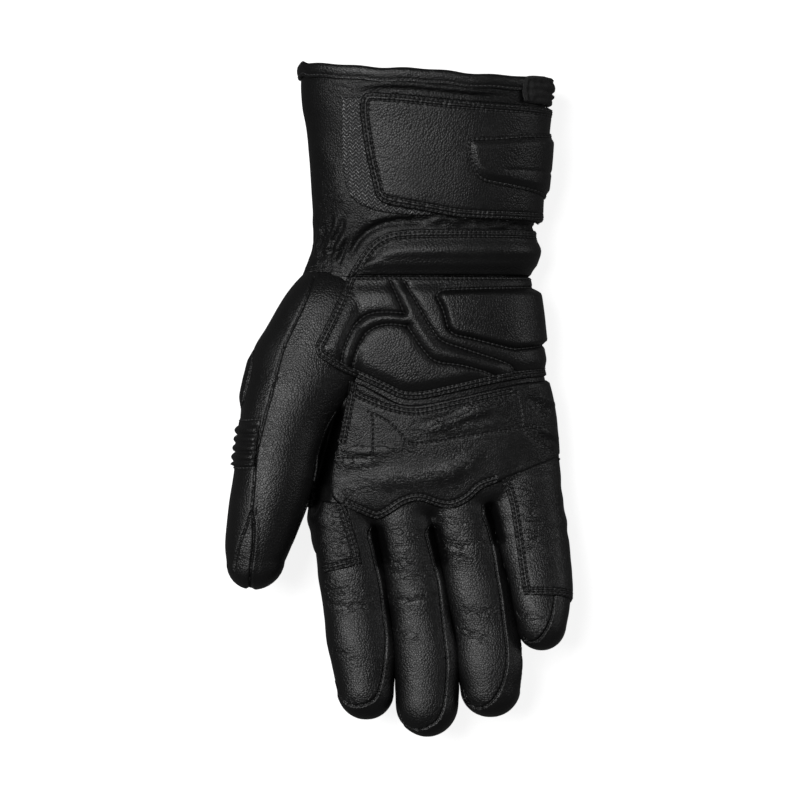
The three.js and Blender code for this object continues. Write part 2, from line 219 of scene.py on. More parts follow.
def wander(points, size, seed):
    """Soft random lift, between about -1 and 1, whose swells are size wide."""
    shift = Vector((seed, seed * 1.7, -seed))
    return np.array([noise.noise(Vector(p) / size + shift) for p in points])


def creased(points, size, seed):
    """Thin random crease lines, 1 in a crease and 0 between them."""
    return bell(wander(points, size, seed), 0.09)


def wrinkled(bm, points, places):
    """Marks where the hide is finely wrinkled. Each place is a line, a strength and a width."""
    mark = bm.verts.layers.float.new("wrinkle")
    amount = np.zeros(len(points))
    for line, strength, width in places:
        amount += strength * bell(away(points, flow(line, 3))[0], width)
    for vert, value in zip(bm.verts, np.minimum(amount, 1)):
        vert[mark] = value


cuff_rows = flow([row for row in OVALS if row[0] > 40], CUFF_STEP)
turns = even_turns(OVALS[5], CUFF_SIDES)
cuff = bmesh.new()
loft(cuff, [on_oval(row, turns) for row in cuff_rows])
bmesh.ops.recalc_face_normals(cuff, faces=cuff.faces)
facing_out = [f.normal.dot(f.calc_center_median() - CUFF_MIDDLE) > 0 for f in cuff.faces]
if sum(facing_out) < len(facing_out) / 2:
    bmesh.ops.reverse_faces(cuff, faces=cuff.faces)
cuff_form = BVHTree.FromBMesh(cuff)

places, normals = coordinates(cuff), outward(cuff)
top_side = smooth((places[:, 2] - 12) / 10)
lift = 0.55 * wander(places, 26, 3) * smooth(places[:, 2] / 6)
for line, depth, width in GATHERS:
    lift += top_side * fold(places[:, :2], flow(line, 2), depth, width, welt=0.45 * depth, fade=0.25)
for line, depth, width in SLACK:
    lift += top_side * fold(places[:, :2], flow(line, 2), depth, width, fade=0.2)
# The gathered corner is rumpled all over, and the leather below the strap is crushed into short folds
gathered = smooth((-20 - places[:, 0]) / 8) * smooth((88 - places[:, 1]) / 10)
lift += 0.35 * top_side * gathered * wander(places * (1, 0.5, 1), 2.8, 31)
lift -= 0.35 * top_side * gathered * creased(places * (1, 0.4, 1), 5.5, 33)
crumpled = smooth((85 - places[:, 1]) / 3) * smooth((places[:, 0] + 12) / 14)
lift += 0.6 * top_side * crumpled * wander(places * (0.35, 1, 1), 1.7, 37)
settle(cuff, places + normals * lift[:, None])
mouth_across = Vector((MOUTH_RIGHT[0] - MOUTH_LEFT[0], MOUTH_RIGHT[1] - MOUTH_LEFT[1], 0)).normalized()
mouth_out = Vector((-mouth_across.y, mouth_across.x, 0))
mouth_at = Vector((*MOUTH_LEFT, 0)) - mouth_out * HEM_REACH
wrinkled(cuff, coordinates(cuff)[:, :2], CUFF_WRINKLES)


def whole(bm):
    return bm.verts[:] + bm.edges[:] + bm.faces[:]


def trim(bm, at, out):
    """Cuts off what lies beyond a plane."""
    bmesh.ops.bisect_plane(bm, geom=whole(bm), plane_co=at, plane_no=out, clear_outer=True)


trim(cuff, mouth_at, mouth_out)
trim(cuff, (0, WRIST_Y, 0), (0, -1, 0))


class Wire:
    """A shader socket that can stand in a Python expression."""

    def __init__(self, finish, socket):
        self.finish = finish
        self.socket = socket

    def maths(self, operation, *values):
        return self.finish.node("ShaderNodeMath", {"operation": operation}, dict(enumerate(values)))

    def __add__(self, other):
        return self.maths("ADD", self, other)

    def __sub__(self, other):
        return self.maths("SUBTRACT", self, other)

    def __mul__(self, other):
        return self.maths("MULTIPLY", self, other)

    def __rsub__(self, other):
        return self.maths("SUBTRACT", other, self)

    def __abs__(self):
        return self.maths("ABSOLUTE", self)

    __radd__ = __add__


class Finish:
    """A material under construction."""

    def __init__(self, name):
        self.material = bpy.data.materials.new(name)
        self.material.use_nodes = True
        self.tree = self.material.node_tree
        self.surface = self.tree.nodes["Principled BSDF"]

    def node(self, kind, settings=None, values=None, out=0):
        made = self.tree.nodes.new(kind)
        for key, value in (settings or {}).items():
            setattr(made, key, value)
        for key, value in (values or {}).items():
            if isinstance(value, Wire):
                self.tree.links.new(value.socket, made.inputs[key])
            else:
                made.inputs[key].default_value = value
        return Wire(self, made.outputs[out])

    def noise(self, place, scale, detail, values=None, out=0):
        settings = {"Vector": place, "Scale": scale, "Detail": detail}
        return self.node("ShaderNodeTexNoise", {}, settings | (values or {}), out)

    def spread(self, value, low, high, values=None):
        """A value between low and high, made one between 0 and 1 or the ends that are given."""
        settings = {"Value": value, "From Min": low, "From Max": high}
        return self.node("ShaderNodeMapRange", {}, settings | (values or {}))

    def mixed(self, share, first, second):
        return self.node("ShaderNodeMix", {"data_type": "RGBA"}, {0: share, 6: first, 7: second}, out=2)

    def bump(self, height, distance, strength=1.0):
        return self.node("ShaderNodeBump", {}, {"Strength": strength, "Distance": distance, "Height": height})

    def feed(self, **values):
        for key, value in values.items():
            socket = self.surface.inputs[key.replace("_", " ")]
            if isinstance(value, Wire):
                self.tree.links.new(value.socket, socket)
            else:
                socket.default_value = value
        return self.material


def leather(name, tint, grain, relief, shine, crinkle, gloss=0.5):
    """Dyed and finished hide: pebbled cells a grain wide with painted shade in the creases between them, fine
    creases, deeper where the hide is wrinkled, and rubbed patches that shine."""
    finish = Finish(name)
    place = finish.node("ShaderNodeTexCoord", out="Object")
    bend = finish.noise(place, 0.35 / (grain * MM), 2.0, out="Color")
    mix = {"blend_type": "LINEAR_LIGHT", "data_type": "RGBA"}
    bent = finish.node("ShaderNodeMix", mix, {0: 0.3 * grain * MM, 6: place, 7: bend}, out=2)
    cell = finish.node("ShaderNodeTexVoronoi", {"feature": "SMOOTH_F1"},
                       {"Vector": bent, "Scale": 1 / (grain * MM), "Smoothness": 0.4}, out="Distance")
    rim = finish.node("ShaderNodeTexVoronoi", {"feature": "DISTANCE_TO_EDGE"},
                      {"Vector": bent, "Scale": 1 / (grain * MM)}, out="Distance")
    valley = finish.spread(rim, 0.0, 0.2)
    pull = finish.noise(place, 45.0, 5.0, {"Roughness": 0.6})
    swell = finish.noise(place, 160.0, 3.0)
    across = finish.node("ShaderNodeMapping", {}, {"Vector": place, "Scale": (0.36, 1, 1)})
    lines = finish.noise(across, 380.0, 2.0, {"Distortion": 0.5})
    crease = finish.spread(abs(lines - 0.5), 0.0, 0.05)
    worn = finish.node("ShaderNodeAttribute", {"attribute_name": "wrinkle"}, out="Fac")
    pebbles = (valley * 0.05 - cell * 0.09) * relief
    creases = (crease - 1) * (worn * 0.2 + 0.012)
    bump = finish.bump(pebbles + creases + swell * (0.14 * crinkle) + pull * (0.3 * crinkle), MM)
    rubbed = finish.spread(pull, 0.3, 0.75, {"To Min": shine - 0.05, "To Max": shine + 0.08})
    # The grain's creases between the cells are painted darker: painted shade.
    painted_crease_shade = [c * 0.7 for c in tint] + [1]
    colour = finish.mixed(valley, painted_crease_shade, (*tint, 1))
    finish.surface.inputs["Specular IOR Level"].default_value = gloss
    return finish.feed(Base_Color=colour, Roughness=rubbed + (1 - valley) * 0.06, Normal=bump)


cowhide = leather("black_cowhide", (0.0036, 0.0036, 0.0038), 1.05, 1.0, 0.36, 0.5)
cuff_hide = leather("black_cuff_hide", (0.0036, 0.0036, 0.0038), 1.0, 1.0, 0.4, 0.7, gloss=0.38)


def placed(name, data):
    """A new object in the scene, at the origin."""
    made = bpy.data.objects.new(name, data)
    bpy.context.scene.collection.objects.link(made)
    return made


def applied(holder):
    """The mesh that an object's modifiers or its curve's bevel make, in place of the object."""
    seen = bpy.context.evaluated_depsgraph_get()
    mesh = bpy.data.meshes.new_from_object(holder.evaluated_get(seen))
    bpy.data.objects.remove(holder)
    return mesh


def dressed(name, mesh, material, nodes):
    """A finished mesh in metres as a piece that stands for its CAD nodes."""
    made = placed(name, mesh)
    mesh.materials.append(material)
    mesh.shade_smooth()
    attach(made, "root")
    if nodes:
        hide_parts(*nodes)
    return made


def with_wall(bm, thickness):
    """Gives an open skin its thickness inwards, and keeps its outer shading as it was before the cut."""
    mesh = bpy.data.meshes.new("skin")
    stored = bm.verts.layers.float_vector.get("flow")
    shade = np.array([v[stored][:] for v in bm.verts]) if stored else None
    skin_faces = len(bm.faces)
    bmesh.ops.scale(bm, vec=(MM, MM, MM), verts=bm.verts)
    bm.to_mesh(mesh)
    bm.free()
    holder = placed("skin", mesh)
    solid = holder.modifiers.new("wall", "SOLIDIFY")
    solid.thickness = thickness * MM
    solid.offset = -1
    made = applied(holder)
    made.shade_smooth()
    if shade is not None:
        loop_normals = np.zeros((len(made.loops), 3))
        for face in made.polygons[:skin_faces]:
            for corner in face.loop_indices:
                loop_normals[corner] = shade[made.loops[corner].vertex_index]
        made.normals_split_custom_set([tuple(n) for n in loop_normals])
    return made


dressed("cuff_leather", with_wall(cuff, WALL), cuff_hide, ["cuff_shell"])


# Hand and fingers
# The palm side and the four finger fronts are cut from one hide. Side strips join them to the back, so
# a seam runs down both sides of each finger and round its tip. Each panel is a piece of its own here.

HAND_CELL = 1.0
FINGER_SIDES = 72
FINGER_STEP = 3.0
FINGER_SQUARE = 2.15
KNUCKLE_TILT = 0.14
SIDE_SEAM_Z = 15.8
KNUCKLES = (Vector((-60, -58.4, 0)), Vector((90, -45.6, 0)))
NO_FLOOR = -99
SLIVER = 0.04
TIP_SHARES = (0.2, 0.4, 0.57, 0.71, 0.82, 0.9, 0.96, 0.99)
STRIP_SHARE = 0.17

# Fingers: y, left, right, height of the centre line, depth
FINGERS = {
    "index": [(-38, -39, -15, 18, 25), (-52, -40.2, -12.4, 18, 27), (-65, -38.2, -9.4, 18.6, 26.5),
              (-79, -36.4, -7.2, 19.6, 25.5), (-94, -34.3, -5.2, 21, 25), (-109, -32.2, -3.3, 22.8, 25),
              (-121, -29.9, -2.6, 24.4, 24), (-129, -28.1, -3, 25.4, 22.5)],
    "middle": [(-38, -13, 12.6, 18.5, 25), (-52, -11.8, 13.4, 18.5, 27), (-65, -8.9, 16.2, 19, 26.5),
               (-79, -6.4, 19, 19.8, 25.5), (-94, -4.2, 22.2, 21, 25), (-109, -2.5, 24.7, 22.6, 25),
               (-121, -1.8, 25.7, 24, 24.5), (-135, -1.6, 26, 25.8, 23)],
    "ring": [(-36, 14.4, 38, 18.5, 25), (-50, 14.2, 40.2, 18.5, 26.5), (-65, 17, 44.4, 19, 26),
             (-79, 19.8, 48, 19.8, 25.5), (-94, 22.9, 51.2, 21, 25), (-109, 25.5, 54.4, 22.6, 24.5),
             (-121, 26.5, 55.2, 24, 24), (-130, 27.4, 54, 25.2, 22.5)],
    "little": [(-32, 40, 70.4, 18, 25), (-46, 40.2, 72, 18.2, 26), (-54, 41.9, 73.4, 18.8, 26),
               (-65, 44.7, 74.8, 20.2, 25), (-79, 48.4, 76, 22.8, 24), (-90, 51, 76, 25.2, 23.5),
               (-101, 52.8, 74.4, 27.8, 22)],
}
TIP_LENGTH = {"index": 14.9, "middle": 16.3, "ring": 12.4, "little": 11.4}
FINGER_EASE = 0.5
SEAM_DEPTH = 1.05
SIDE_SEAM_DEPTH = 0.7

# The slits between the fingers, from the index finger on: where each starts and ends, and its gap while
# the skin is made. When it closes, both sides press a little past its middle. A dip marks where it starts.
SLIT_TOP = (-53.6, -53.2, -43.2)
SLIT_END = (-136, -134, -106)
SLIT_GAP = 5.0
TOUCH = -0.2
SLIT_SINK = 5.0
SLIT_WIDTH = 2.0

# How much wider a finger is on its left and right side than it looks, before its neighbour presses on it
PRESSED = {"index": (0, 1.3), "middle": (1.3, 1.9), "ring": (1.9, 2.0), "little": (2.0, 0)}

# The dark valley between the thumb and the palm, and creases at the finger joints: line, depth and width
THUMB_VALLEY = [(-27.5, -2), (-31, -14), (-33.6, -24), (-36, -34), (-38.4, -43), (-40, -50)]
VALLEY_DEPTH = 12
VALLEY_WIDTH = 4.4
JOINT_CREASES = [
    ([(-33, -91), (-24, -93), (-14, -91.5)], 0.35, 1.3), ([(-35, -84.5), (-26, -86.5)], 0.3, 1.1),
    ([(-31, -112), (-22, -114)], 0.25, 1.0), ([(-8, -76), (2, -78.4), (12, -77)], 0.4, 1.2),
    ([(-5, -88.5), (6, -90), (14, -88)], 0.4, 1.1), ([(-7, -72), (3, -73.2)], 0.3, 0.9),
    ([(18, -62.6), (27, -65.6), (36, -64)], 0.4, 1.2), ([(19, -70), (30, -71.4)], 0.3, 1.1),
    ([(25, -93), (35, -95.6), (43, -94.4)], 0.35, 1.2), ([(27, -104), (37, -105.6)], 0.25, 1.0),
    ([(-4, -104), (6, -106)], 0.25, 1.0), ([(54, -96.4), (61, -98)], 0.25, 0.9),
]

HAND_WRINKLES = [
    ([(-6, -58), (8, -60)], 0.6, 5), ([(19, -56), (32, -54)], 0.5, 5), ([(-2, -66), (12, -70)], 0.4, 5),
    ([(-30, -84), (-14, -86)], 0.5, 4),
]

# The seam round each finger front, as seen from above: down the little-finger side, round and back up
FRONT_SEAMS = {
    "index": [(-12.8, -57), (-14.2, -61.6), (-12.8, -66.1), (-8.6, -85.9), (-6.8, -100.3), (-6.4, -109.3),
              (-7.4, -121.9), (-10.1, -131.3), (-13.3, -134.9), (-20.5, -136.9), (-26.3, -133.6),
              (-29.2, -126), (-31, -116), (-33.4, -98), (-35.6, -80), (-37.6, -62), (-38.4, -50)],
    "middle": [(13.2, -56.4), (11.6, -59.6), (12.6, -64.3), (15.1, -73.7), (16.9, -80.5), (18.9, -96.2),
               (20.2, -109.3), (21, -117.8), (20.6, -129.1), (18.7, -139.4), (15.1, -144.4), (8.3, -147.5),
               (1.9, -145), (-0.4, -138), (-0.9, -130.4), (-1, -121.9), (-2, -106.6), (-3.8, -94.4),
               (-5.8, -80), (-8.8, -66), (-10.4, -60.4), (-11.8, -56.8)],
    "ring": [(37.4, -46.4), (36.9, -51.2), (39.4, -57.5), (41.6, -67), (44.4, -84.1), (46.4, -99),
             (47.6, -110), (47.6, -118.8), (45.6, -127.3), (41.6, -134), (36.2, -137.8), (30.8, -136.6),
             (28.3, -129), (27.4, -120), (24.4, -100), (20.7, -80), (17.3, -66), (15.4, -60),
             (14.4, -56.4)],
    "little": [(71.6, -46), (71.5, -62), (70.2, -80), (68.8, -89.5), (67.7, -96.2), (65.4, -102.1),
               (61.5, -107.3), (57.4, -108.6), (54.8, -104.6), (54, -98), (52.4, -88), (49.6, -76),
               (45.6, -62), (42, -52), (38.6, -46.2)],
}

# How many of a seam's points are open to view; the rest lie between two fingers
SEEN = {"index": 12, "middle": 14, "ring": 13, "little": 9}

names = list(FINGERS)
finger_rows = {name: flow(FINGERS[name], FINGER_STEP) for name in names}


def column(name, y, number):
    """A column of a finger's table at the given y."""
    rows = np.array(FINGERS[name], float)
    return np.interp(-np.asarray(y, float), -rows[:, 0], rows[:, number])


def slit_middle(slit, y):
    return (column(names[slit], y, 2) + column(names[slit + 1], y, 1)) / 2


def slit_gap(slit, y):
    return SLIT_GAP * smooth((SLIT_TOP[slit] - np.asarray(y, float)) / 7)


def moved_apart(finger, y):
    """How far a finger stands to the side while its neighbours are kept off it."""
    gaps = [slit_gap(slit, y) for slit in range(len(SLIT_TOP))]
    return sum(gaps[:finger]) - sum(gaps) / 2


def digit_rings(rows, tip, sides, square, pressed=(0, 0)):
    """Rings of a finger or thumb, with a dome at the tip. Rows are y, left, right, centre height, depth."""
    turn = even_turns((0, -13, 13, 12, -12, NO_FLOOR), sides)
    last, before = rows[-1], rows[-2]
    lean = (last[1] + last[2] - before[1] - before[2]) / 2 / (last[0] - before[0])
    rings = []
    for y, left, right, z, depth in rows:
        spare = smooth((y - last[0]) / 14)
        left, right = left - spare * pressed[0], right + spare * pressed[1]
        row = (y, left, right, z + depth / 2, z - depth / 2, NO_FLOOR)
        rings.append(on_oval(row, turn, grow=FINGER_EASE, square=square))
    for share in TIP_SHARES:
        scale = math.sqrt(1 - share ** 2)
        middle = (last[1] + last[2]) / 2 - lean * tip * share * 0.5
        half = (last[2] - last[1]) / 2 * scale
        z, depth = last[3] + 0.8 * share, last[4] * scale
        row = (last[0] - tip * share, middle - half, middle + half, z + depth / 2, z - depth / 2, NO_FLOOR)
        rings.append(on_oval(row, turn, grow=FINGER_EASE * scale, square=square))
    return rings


def capped(bm, rings):
    for ring in loft(bm, rings):
        bmesh.ops.contextual_create(bm, geom=ring_edges(ring))


def relax(bm, verts, rounds):
    for _ in range(rounds):
        bmesh.ops.smooth_vert(bm, verts=verts, factor=0.5, use_axis_x=True, use_axis_y=True, use_axis_z=True)


def remeshed(bm, cell, rounds):
    """One even skin round overlapping forms, with the creases between them eased."""
    bmesh.ops.triangulate(bm, faces=[f for f in bm.faces if len(f.verts) > 4])
    bmesh.ops.recalc_face_normals(bm, faces=bm.faces)
    mesh = bpy.data.meshes.new("forms")
    bm.to_mesh(mesh)
    bm.free()
    holder = placed("forms", mesh)
    skin = holder.modifiers.new("skin", "REMESH")
    skin.mode = "VOXEL"
    skin.voxel_size = cell
    made = bmesh.new()
    made.from_mesh(applied(holder))
    relax(made, made.verts, rounds)
    return made


forms = bmesh.new()
hand_rings = []
for row in flow([row for row in OVALS if row[0] < 80], 3.0):
    ring = on_oval(row, even_turns(OVALS[12], 144))
    ring[:, 1] += KNUCKLE_TILT * smooth((-20 - row[0]) / 28) * (ring[:, 0] - 15)
    hand_rings.append(ring)
capped(forms, hand_rings)
for number, name in enumerate(names):
    rings = digit_rings(finger_rows[name], TIP_LENGTH[name], FINGER_SIDES, FINGER_SQUARE, PRESSED[name])
    for ring in rings:
        ring[:, 0] += moved_apart(number, ring[:, 1])
    capped(forms, rings)
hand = remeshed(forms, HAND_CELL, 10)

# Each point is given its finger while the fingers stand apart, and then they close up again
owner = hand.verts.layers.int.new("finger")
places = coordinates(hand)
fingers = np.zeros(len(places), int)
shift = moved_apart(0, places[:, 1])
for slit in range(len(SLIT_TOP)):
    gap = slit_gap(slit, places[:, 1])
    apart = (moved_apart(slit, places[:, 1]) + moved_apart(slit + 1, places[:, 1])) / 2
    offset = places[:, 0] - slit_middle(slit, places[:, 1]) - apart
    fingers += offset > 0
    shift += gap * (0.5 + 0.5 * np.clip(offset / np.maximum(0.35 * gap, 1e-6), -1, 1))
places[:, 0] -= shift
for slit in range(len(SLIT_TOP)):
    touching = smooth((SLIT_TOP[slit] - places[:, 1]) / 6) * smooth((places[:, 1] - SLIT_END[slit]) / 6)
    offset = places[:, 0] - slit_middle(slit, places[:, 1])
    side = np.where(fingers > slit, 1, -1)
    room = side * offset - TOUCH
    pressed = side * (TOUCH + 0.5 * (room + np.hypot(room, 0.5)))
    places[:, 0] += touching * (pressed - offset)
for vert, place, finger in zip(hand.verts, places, fingers):
    vert.co = place
    vert[owner] = int(finger)
hand.normal_update()
hand_form = BVHTree.FromBMesh(hand)


def with_corners(faces):
    """Faces with their edges and corners, for a cut that stays within them."""
    verts = {vert for face in faces for vert in face.verts}
    edges = {edge for face in faces for edge in face.edges}
    return [*verts, *edges, *faces]


def score(bm, line, reach=2.5, flat=False):
    """Cuts edges along a line that is seen from above, into a form's upper side or a flat sheet."""
    bm.faces.ensure_lookup_table()
    near = BVHTree.FromBMesh(bm)
    pool = set()
    for x, y in flow(line, 1.5):
        spot = Vector((x, y, 0)) if flat else near.ray_cast(Vector((x, y, CLEAR)), Vector((0, 0, -1)))[0]
        if spot:
            pool |= {bm.faces[hit[2]] for hit in near.find_nearest_range(spot, reach)}
    if not flat:
        pool = {face for face in pool if face.normal.z > 0.02}
    for a, b in zip(line[:-1], line[1:]):
        a, b = Vector((*a, 0)), Vector((*b, 0))
        along = (b - a).normalized()
        across = Vector((along.y, -along.x, 0))
        length = (b - a).length
        chosen = []
        for face in pool:
            offset = face.calc_center_median() - a
            if -0.8 < offset.dot(along) < length + 0.8 and abs(offset.dot(across)) < reach:
                chosen.append(face)
        cut = bmesh.ops.bisect_plane(bm, geom=with_corners(chosen), dist=0.02, plane_co=a, plane_no=across)
        pool |= {item for item in cut["geom"] if isinstance(item, bmesh.types.BMFace)}


def edge_middles(bm):
    return np.array([(e.verts[0].co + e.verts[1].co)[:2] for e in bm.edges]) / 2


def halve(bm, marked):
    """Halves the marked edges."""
    edges = bm.edges[:]
    chosen = [edges[i] for i in np.flatnonzero(marked)]
    bmesh.ops.subdivide_edges(bm, edges=chosen, cuts=1, use_grid_fill=True)


def finer(bm, lines, reach):
    """Halves the edges near lines that are seen from above, on a skin's upper side."""
    middles = edge_middles(bm)
    raised = np.array([e.verts[0].normal.z + e.verts[1].normal.z for e in bm.edges]) > 0.05
    near = np.zeros(len(middles), bool)
    for line in lines:
        low, high = np.min(line, axis=0) - reach, np.max(line, axis=0) + reach
        boxed = np.flatnonzero(raised & np.all((middles > low) & (middles < high), axis=1))
        near[boxed] |= away(middles[boxed], flow(line, 3))[0] < reach
    halve(bm, near)
    bm.normal_update()


open_seams = {}
for name, seam in FRONT_SEAMS.items():
    line = flow(seam, 3)
    end = np.argmin(np.linalg.norm(line - seam[SEEN[name] - 1], axis=1))
    open_seams[name] = line[:end + 1]
    score(hand, open_seams[name])
for reach in (1.3, 0.8):
    finer(hand, open_seams.values(), reach)

# The fingers are cut off from the hand at the knuckles, and the hand is cut round its sides
knuckle_along = (KNUCKLES[1] - KNUCKLES[0]).normalized()
knuckle_across = Vector((-knuckle_along.y, knuckle_along.x, 0))


def past_knuckles(points):
    return (points - np.array(KNUCKLES[0])) @ np.array(knuckle_across) < 0


bmesh.ops.bisect_plane(hand, geom=whole(hand), plane_co=KNUCKLES[0], plane_no=knuckle_across)
in_hand = [f for f in hand.faces if (f.calc_center_median() - KNUCKLES[0]).dot(knuckle_across) > 0]
bmesh.ops.bisect_plane(hand, geom=with_corners(in_hand), plane_co=(0, 0, SIDE_SEAM_Z), plane_no=(0, 0, 1))
bmesh.ops.dissolve_degenerate(hand, dist=SLIVER, edges=hand.edges)

places, normals = coordinates(hand), outward(hand)
fingers = np.array([v[owner] for v in hand.verts])
on_top = smooth(normals[:, 2] / 0.15 + 0.5)
high = smooth((places[:, 2] - SIDE_SEAM_Z - 0.2) / 8)
beyond = past_knuckles(places)
lift = 0.35 * wander(places, 22, 11) * smooth(places[:, 2] / 5)
for number, name in enumerate(names):
    mine = (fingers == number) & (places[:, 1] < -40)
    own = places[mine]
    lift[mine] += on_top[mine] * fold(own[:, :2], open_seams[name], SEAM_DEPTH, 0.45, welt=0.14, fade=0.03)
    z = column(name, own[:, 1], 3) - STRIP_SHARE * column(name, own[:, 1], 4)
    away_from_strip = np.abs(own[:, 2] - z) + 20 * (own[:, 1] < -133)
    lift[mine] -= SIDE_SEAM_DEPTH * bell(away_from_strip, 0.7) * beyond[mine]
    lift[mine] += 0.3 * np.sin(own[:, 1] / 4.6 + number) * on_top[mine] * smooth((-70 - own[:, 1]) / 10)
drop = np.zeros(len(places))
for slit, top in enumerate(SLIT_TOP):
    middle = [(float(slit_middle(slit, y)), y) for y in (top - 2.4, top - 9, top - 16, top - 22)]
    drop += high * fold(places[:, :2], middle, SLIT_SINK, SLIT_WIDTH, fade=0.15)
lift -= np.where(beyond, 0, SIDE_SEAM_DEPTH * bell(places[:, 2] - SIDE_SEAM_Z, 0.7))
drop += on_top * fold(places[:, :2], flow(THUMB_VALLEY, 2), VALLEY_DEPTH, VALLEY_WIDTH, fade=0.12)
for line, depth, width in JOINT_CREASES:
    lift += on_top * fold(places[:, :2], flow(line, 2), 0.7 * depth, width, welt=0.3 * depth, fade=0.4)
settle(hand, places + normals * lift[:, None] + drop[:, None] * (0, 0, 1))
wrinkled(hand, places[:, :2], [(line, 0.9, 3.2) for line, _, _ in JOINT_CREASES] + HAND_WRINKLES)
trim(hand, (0, WRIST_Y - 0.3, 0), (0, 1, 0))


def keep_shading(bm):
    """Stores which way is out at each point, for the shading after the skin is cut into panels."""
    layer = bm.verts.layers.float_vector.new("flow")
    for vert, normal in zip(bm.verts, outward(bm)):
        vert[layer] = Vector(normal)


keep_shading(hand)


def inside(points, outline):
    """Which points of a plane lie inside a closed outline."""
    outline = np.array(outline, float)
    crossed = np.zeros(len(points), bool)
    for a, b in zip(outline, np.roll(outline, -1, axis=0)):
        spans = (a[1] > points[:, 1]) != (b[1] > points[:, 1])
        slope = (b[0] - a[0]) / ((b[1] - a[1]) or 1e-9)
        crossed ^= spans & (points[:, 0] < a[0] + (points[:, 1] - a[1]) * slope)
    return crossed


def face_middles(bm):
    return np.array([f.calc_center_median()[:] for f in bm.faces])


centres = face_middles(hand)
ups = np.array([f.normal.z for f in hand.faces])
face_fingers = np.array([round(sum(v[owner] for v in f.verts) / len(f.verts)) for f in hand.faces])
labels = np.where(centres[:, 2] > SIDE_SEAM_Z, "palm_panel", "back_panel").astype(object)
for number, name in enumerate(names):
    mine = past_knuckles(centres) & (face_fingers == number)
    z = column(name, centres[:, 1], 3) - STRIP_SHARE * column(name, centres[:, 1], 4)
    front = inside(centres[:, :2], flow(FRONT_SEAMS[name], 3)) & (ups > 0)
    labels[mine & front] = f"{name}_front"
    labels[mine & ~front & (centres[:, 2] > z)] = f"{name}_fourchette"
    labels[mine & ~front & (centres[:, 2] <= z)] = f"{name}_back"


def cut_apart(bm, labels):
    """Makes a panel of each part of a skin whose faces carry the same label."""
    for label in sorted(set(labels)):
        own = bm.copy()
        own.faces.ensure_lookup_table()
        bmesh.ops.delete(own, geom=[own.faces[i] for i in np.flatnonzero(labels != label)], context="FACES")
        dressed(f"{label}_leather", with_wall(own, WALL), cowhide, [label])
    bm.free()


cut_apart(hand, labels)


# Thumb
# The thumb is sewn in at the wrist. Its palm-side panel and its outer panel meet in one raised seam,
# which forks round a wedge at the tip. Stretch ribs and a small pad are sewn on its outer side.

THUMB_STEP = 1.1
THUMB_SIDES = 116
THUMB_TIP = 13.1
THUMB_FLOOR = 0.4
WEDGE_TOP = -49
WEDGE_Z = 33
# The small pucker where the wedge ends at the very tip
PUCKER_X = -66.9
PUCKER_DEPTH = 1.3

# Thumb: y, left, right, height of the centre line, depth
THUMB = [
    (57.5, -42.5, -14, 19.5, 26), (52, -47.5, -11, 20.2, 33), (45, -52.4, -9, 21, 38),
    (33, -59.4, -8, 22, 41), (24, -64.8, -9, 23, 42), (14, -67.6, -13, 24.4, 42),
    (6.4, -69.4, -19, 25.8, 41.5), (-1, -70.6, -25, 27.4, 40), (-10, -71.2, -31.4, 29.4, 38),
    (-18.4, -72, -34.8, 31.2, 36.5), (-26, -73, -37, 32.6, 35), (-36, -74.2, -39.2, 34, 34),
    (-48.5, -76.2, -42.6, 34.6, 33), (-63.4, -77.6, -48.4, 35, 30.5), (-72, -77, -52.2, 35, 28),
]
THUMB_SEAM = [(-38, 56), (-43.4, 41.9), (-48.4, 31.6), (-52, 23.5), (-55.6, 10.4), (-57.8, 1), (-60.5, -8.9),
              (-64, -24), (-64.7, -33.7), (-65.9, -49)]
WEDGE_LEFT = [(-65.9, -49), (-68.8, -57.1), (-71.8, -65.2), (-73.6, -72.8), (-74, -77)]
WEDGE_RIGHT = [(-65.9, -49), (-64.9, -56.2), (-65.3, -66.5), (-66.2, -73.7), (-66.8, -81), (-67.2, -84.6)]
THUMB_LINES = (THUMB_SEAM, WEDGE_LEFT, WEDGE_RIGHT)
THUMB_WRINKLES = [([(-30, 2), (-37, -12)], 0.5, 5), ([(-62, -10), (-56, -24)], 0.25, 7)]

thumb = bmesh.new()
capped(thumb, digit_rings(flow(THUMB, THUMB_STEP), THUMB_TIP, THUMB_SIDES, FINGER_SQUARE))
bmesh.ops.recalc_face_normals(thumb, faces=thumb.faces)
for vert in thumb.verts:
    vert.co.z = max(vert.co.z, THUMB_FLOOR)
thumb.normal_update()
thumb_form = BVHTree.FromBMesh(thumb)
for line in THUMB_LINES:
    score(thumb, line)
finer(thumb, THUMB_LINES, 1.8)
bmesh.ops.dissolve_degenerate(thumb, dist=SLIVER, edges=thumb.edges)
places, normals = coordinates(thumb), outward(thumb)
on_top = smooth(normals[:, 2] / 0.15 + 0.5)
lift = 0.4 * wander(places, 24, 21)
for line in THUMB_LINES:
    lift += on_top * fold(places[:, :2], flow(line, 2), 0.8, 0.5, fade=0.01)
    beside_seam = [(x + 1.4, y) for x, y in line if y > -82]
    lift += on_top * 0.3 * bell(away(places[:, :2], flow(beside_seam, 2))[0], 0.8)
pucker = PUCKER_DEPTH * bell(places[:, 0] - PUCKER_X, 1.4) * smooth((-76 - places[:, 1]) / 8)
settle(thumb, places + normals * lift[:, None] + pucker[:, None] * (0, 1, 0))
keep_shading(thumb)
wrinkled(thumb, coordinates(thumb)[:, :2], THUMB_WRINKLES)
caps = sorted((f for f in thumb.faces if len(f.verts) > 60), key=lambda face: face.calc_center_median().y)
bmesh.ops.delete(thumb, geom=caps[1:], context="FACES")
bmesh.ops.poke(thumb, faces=caps[:1])
thumb.normal_update()

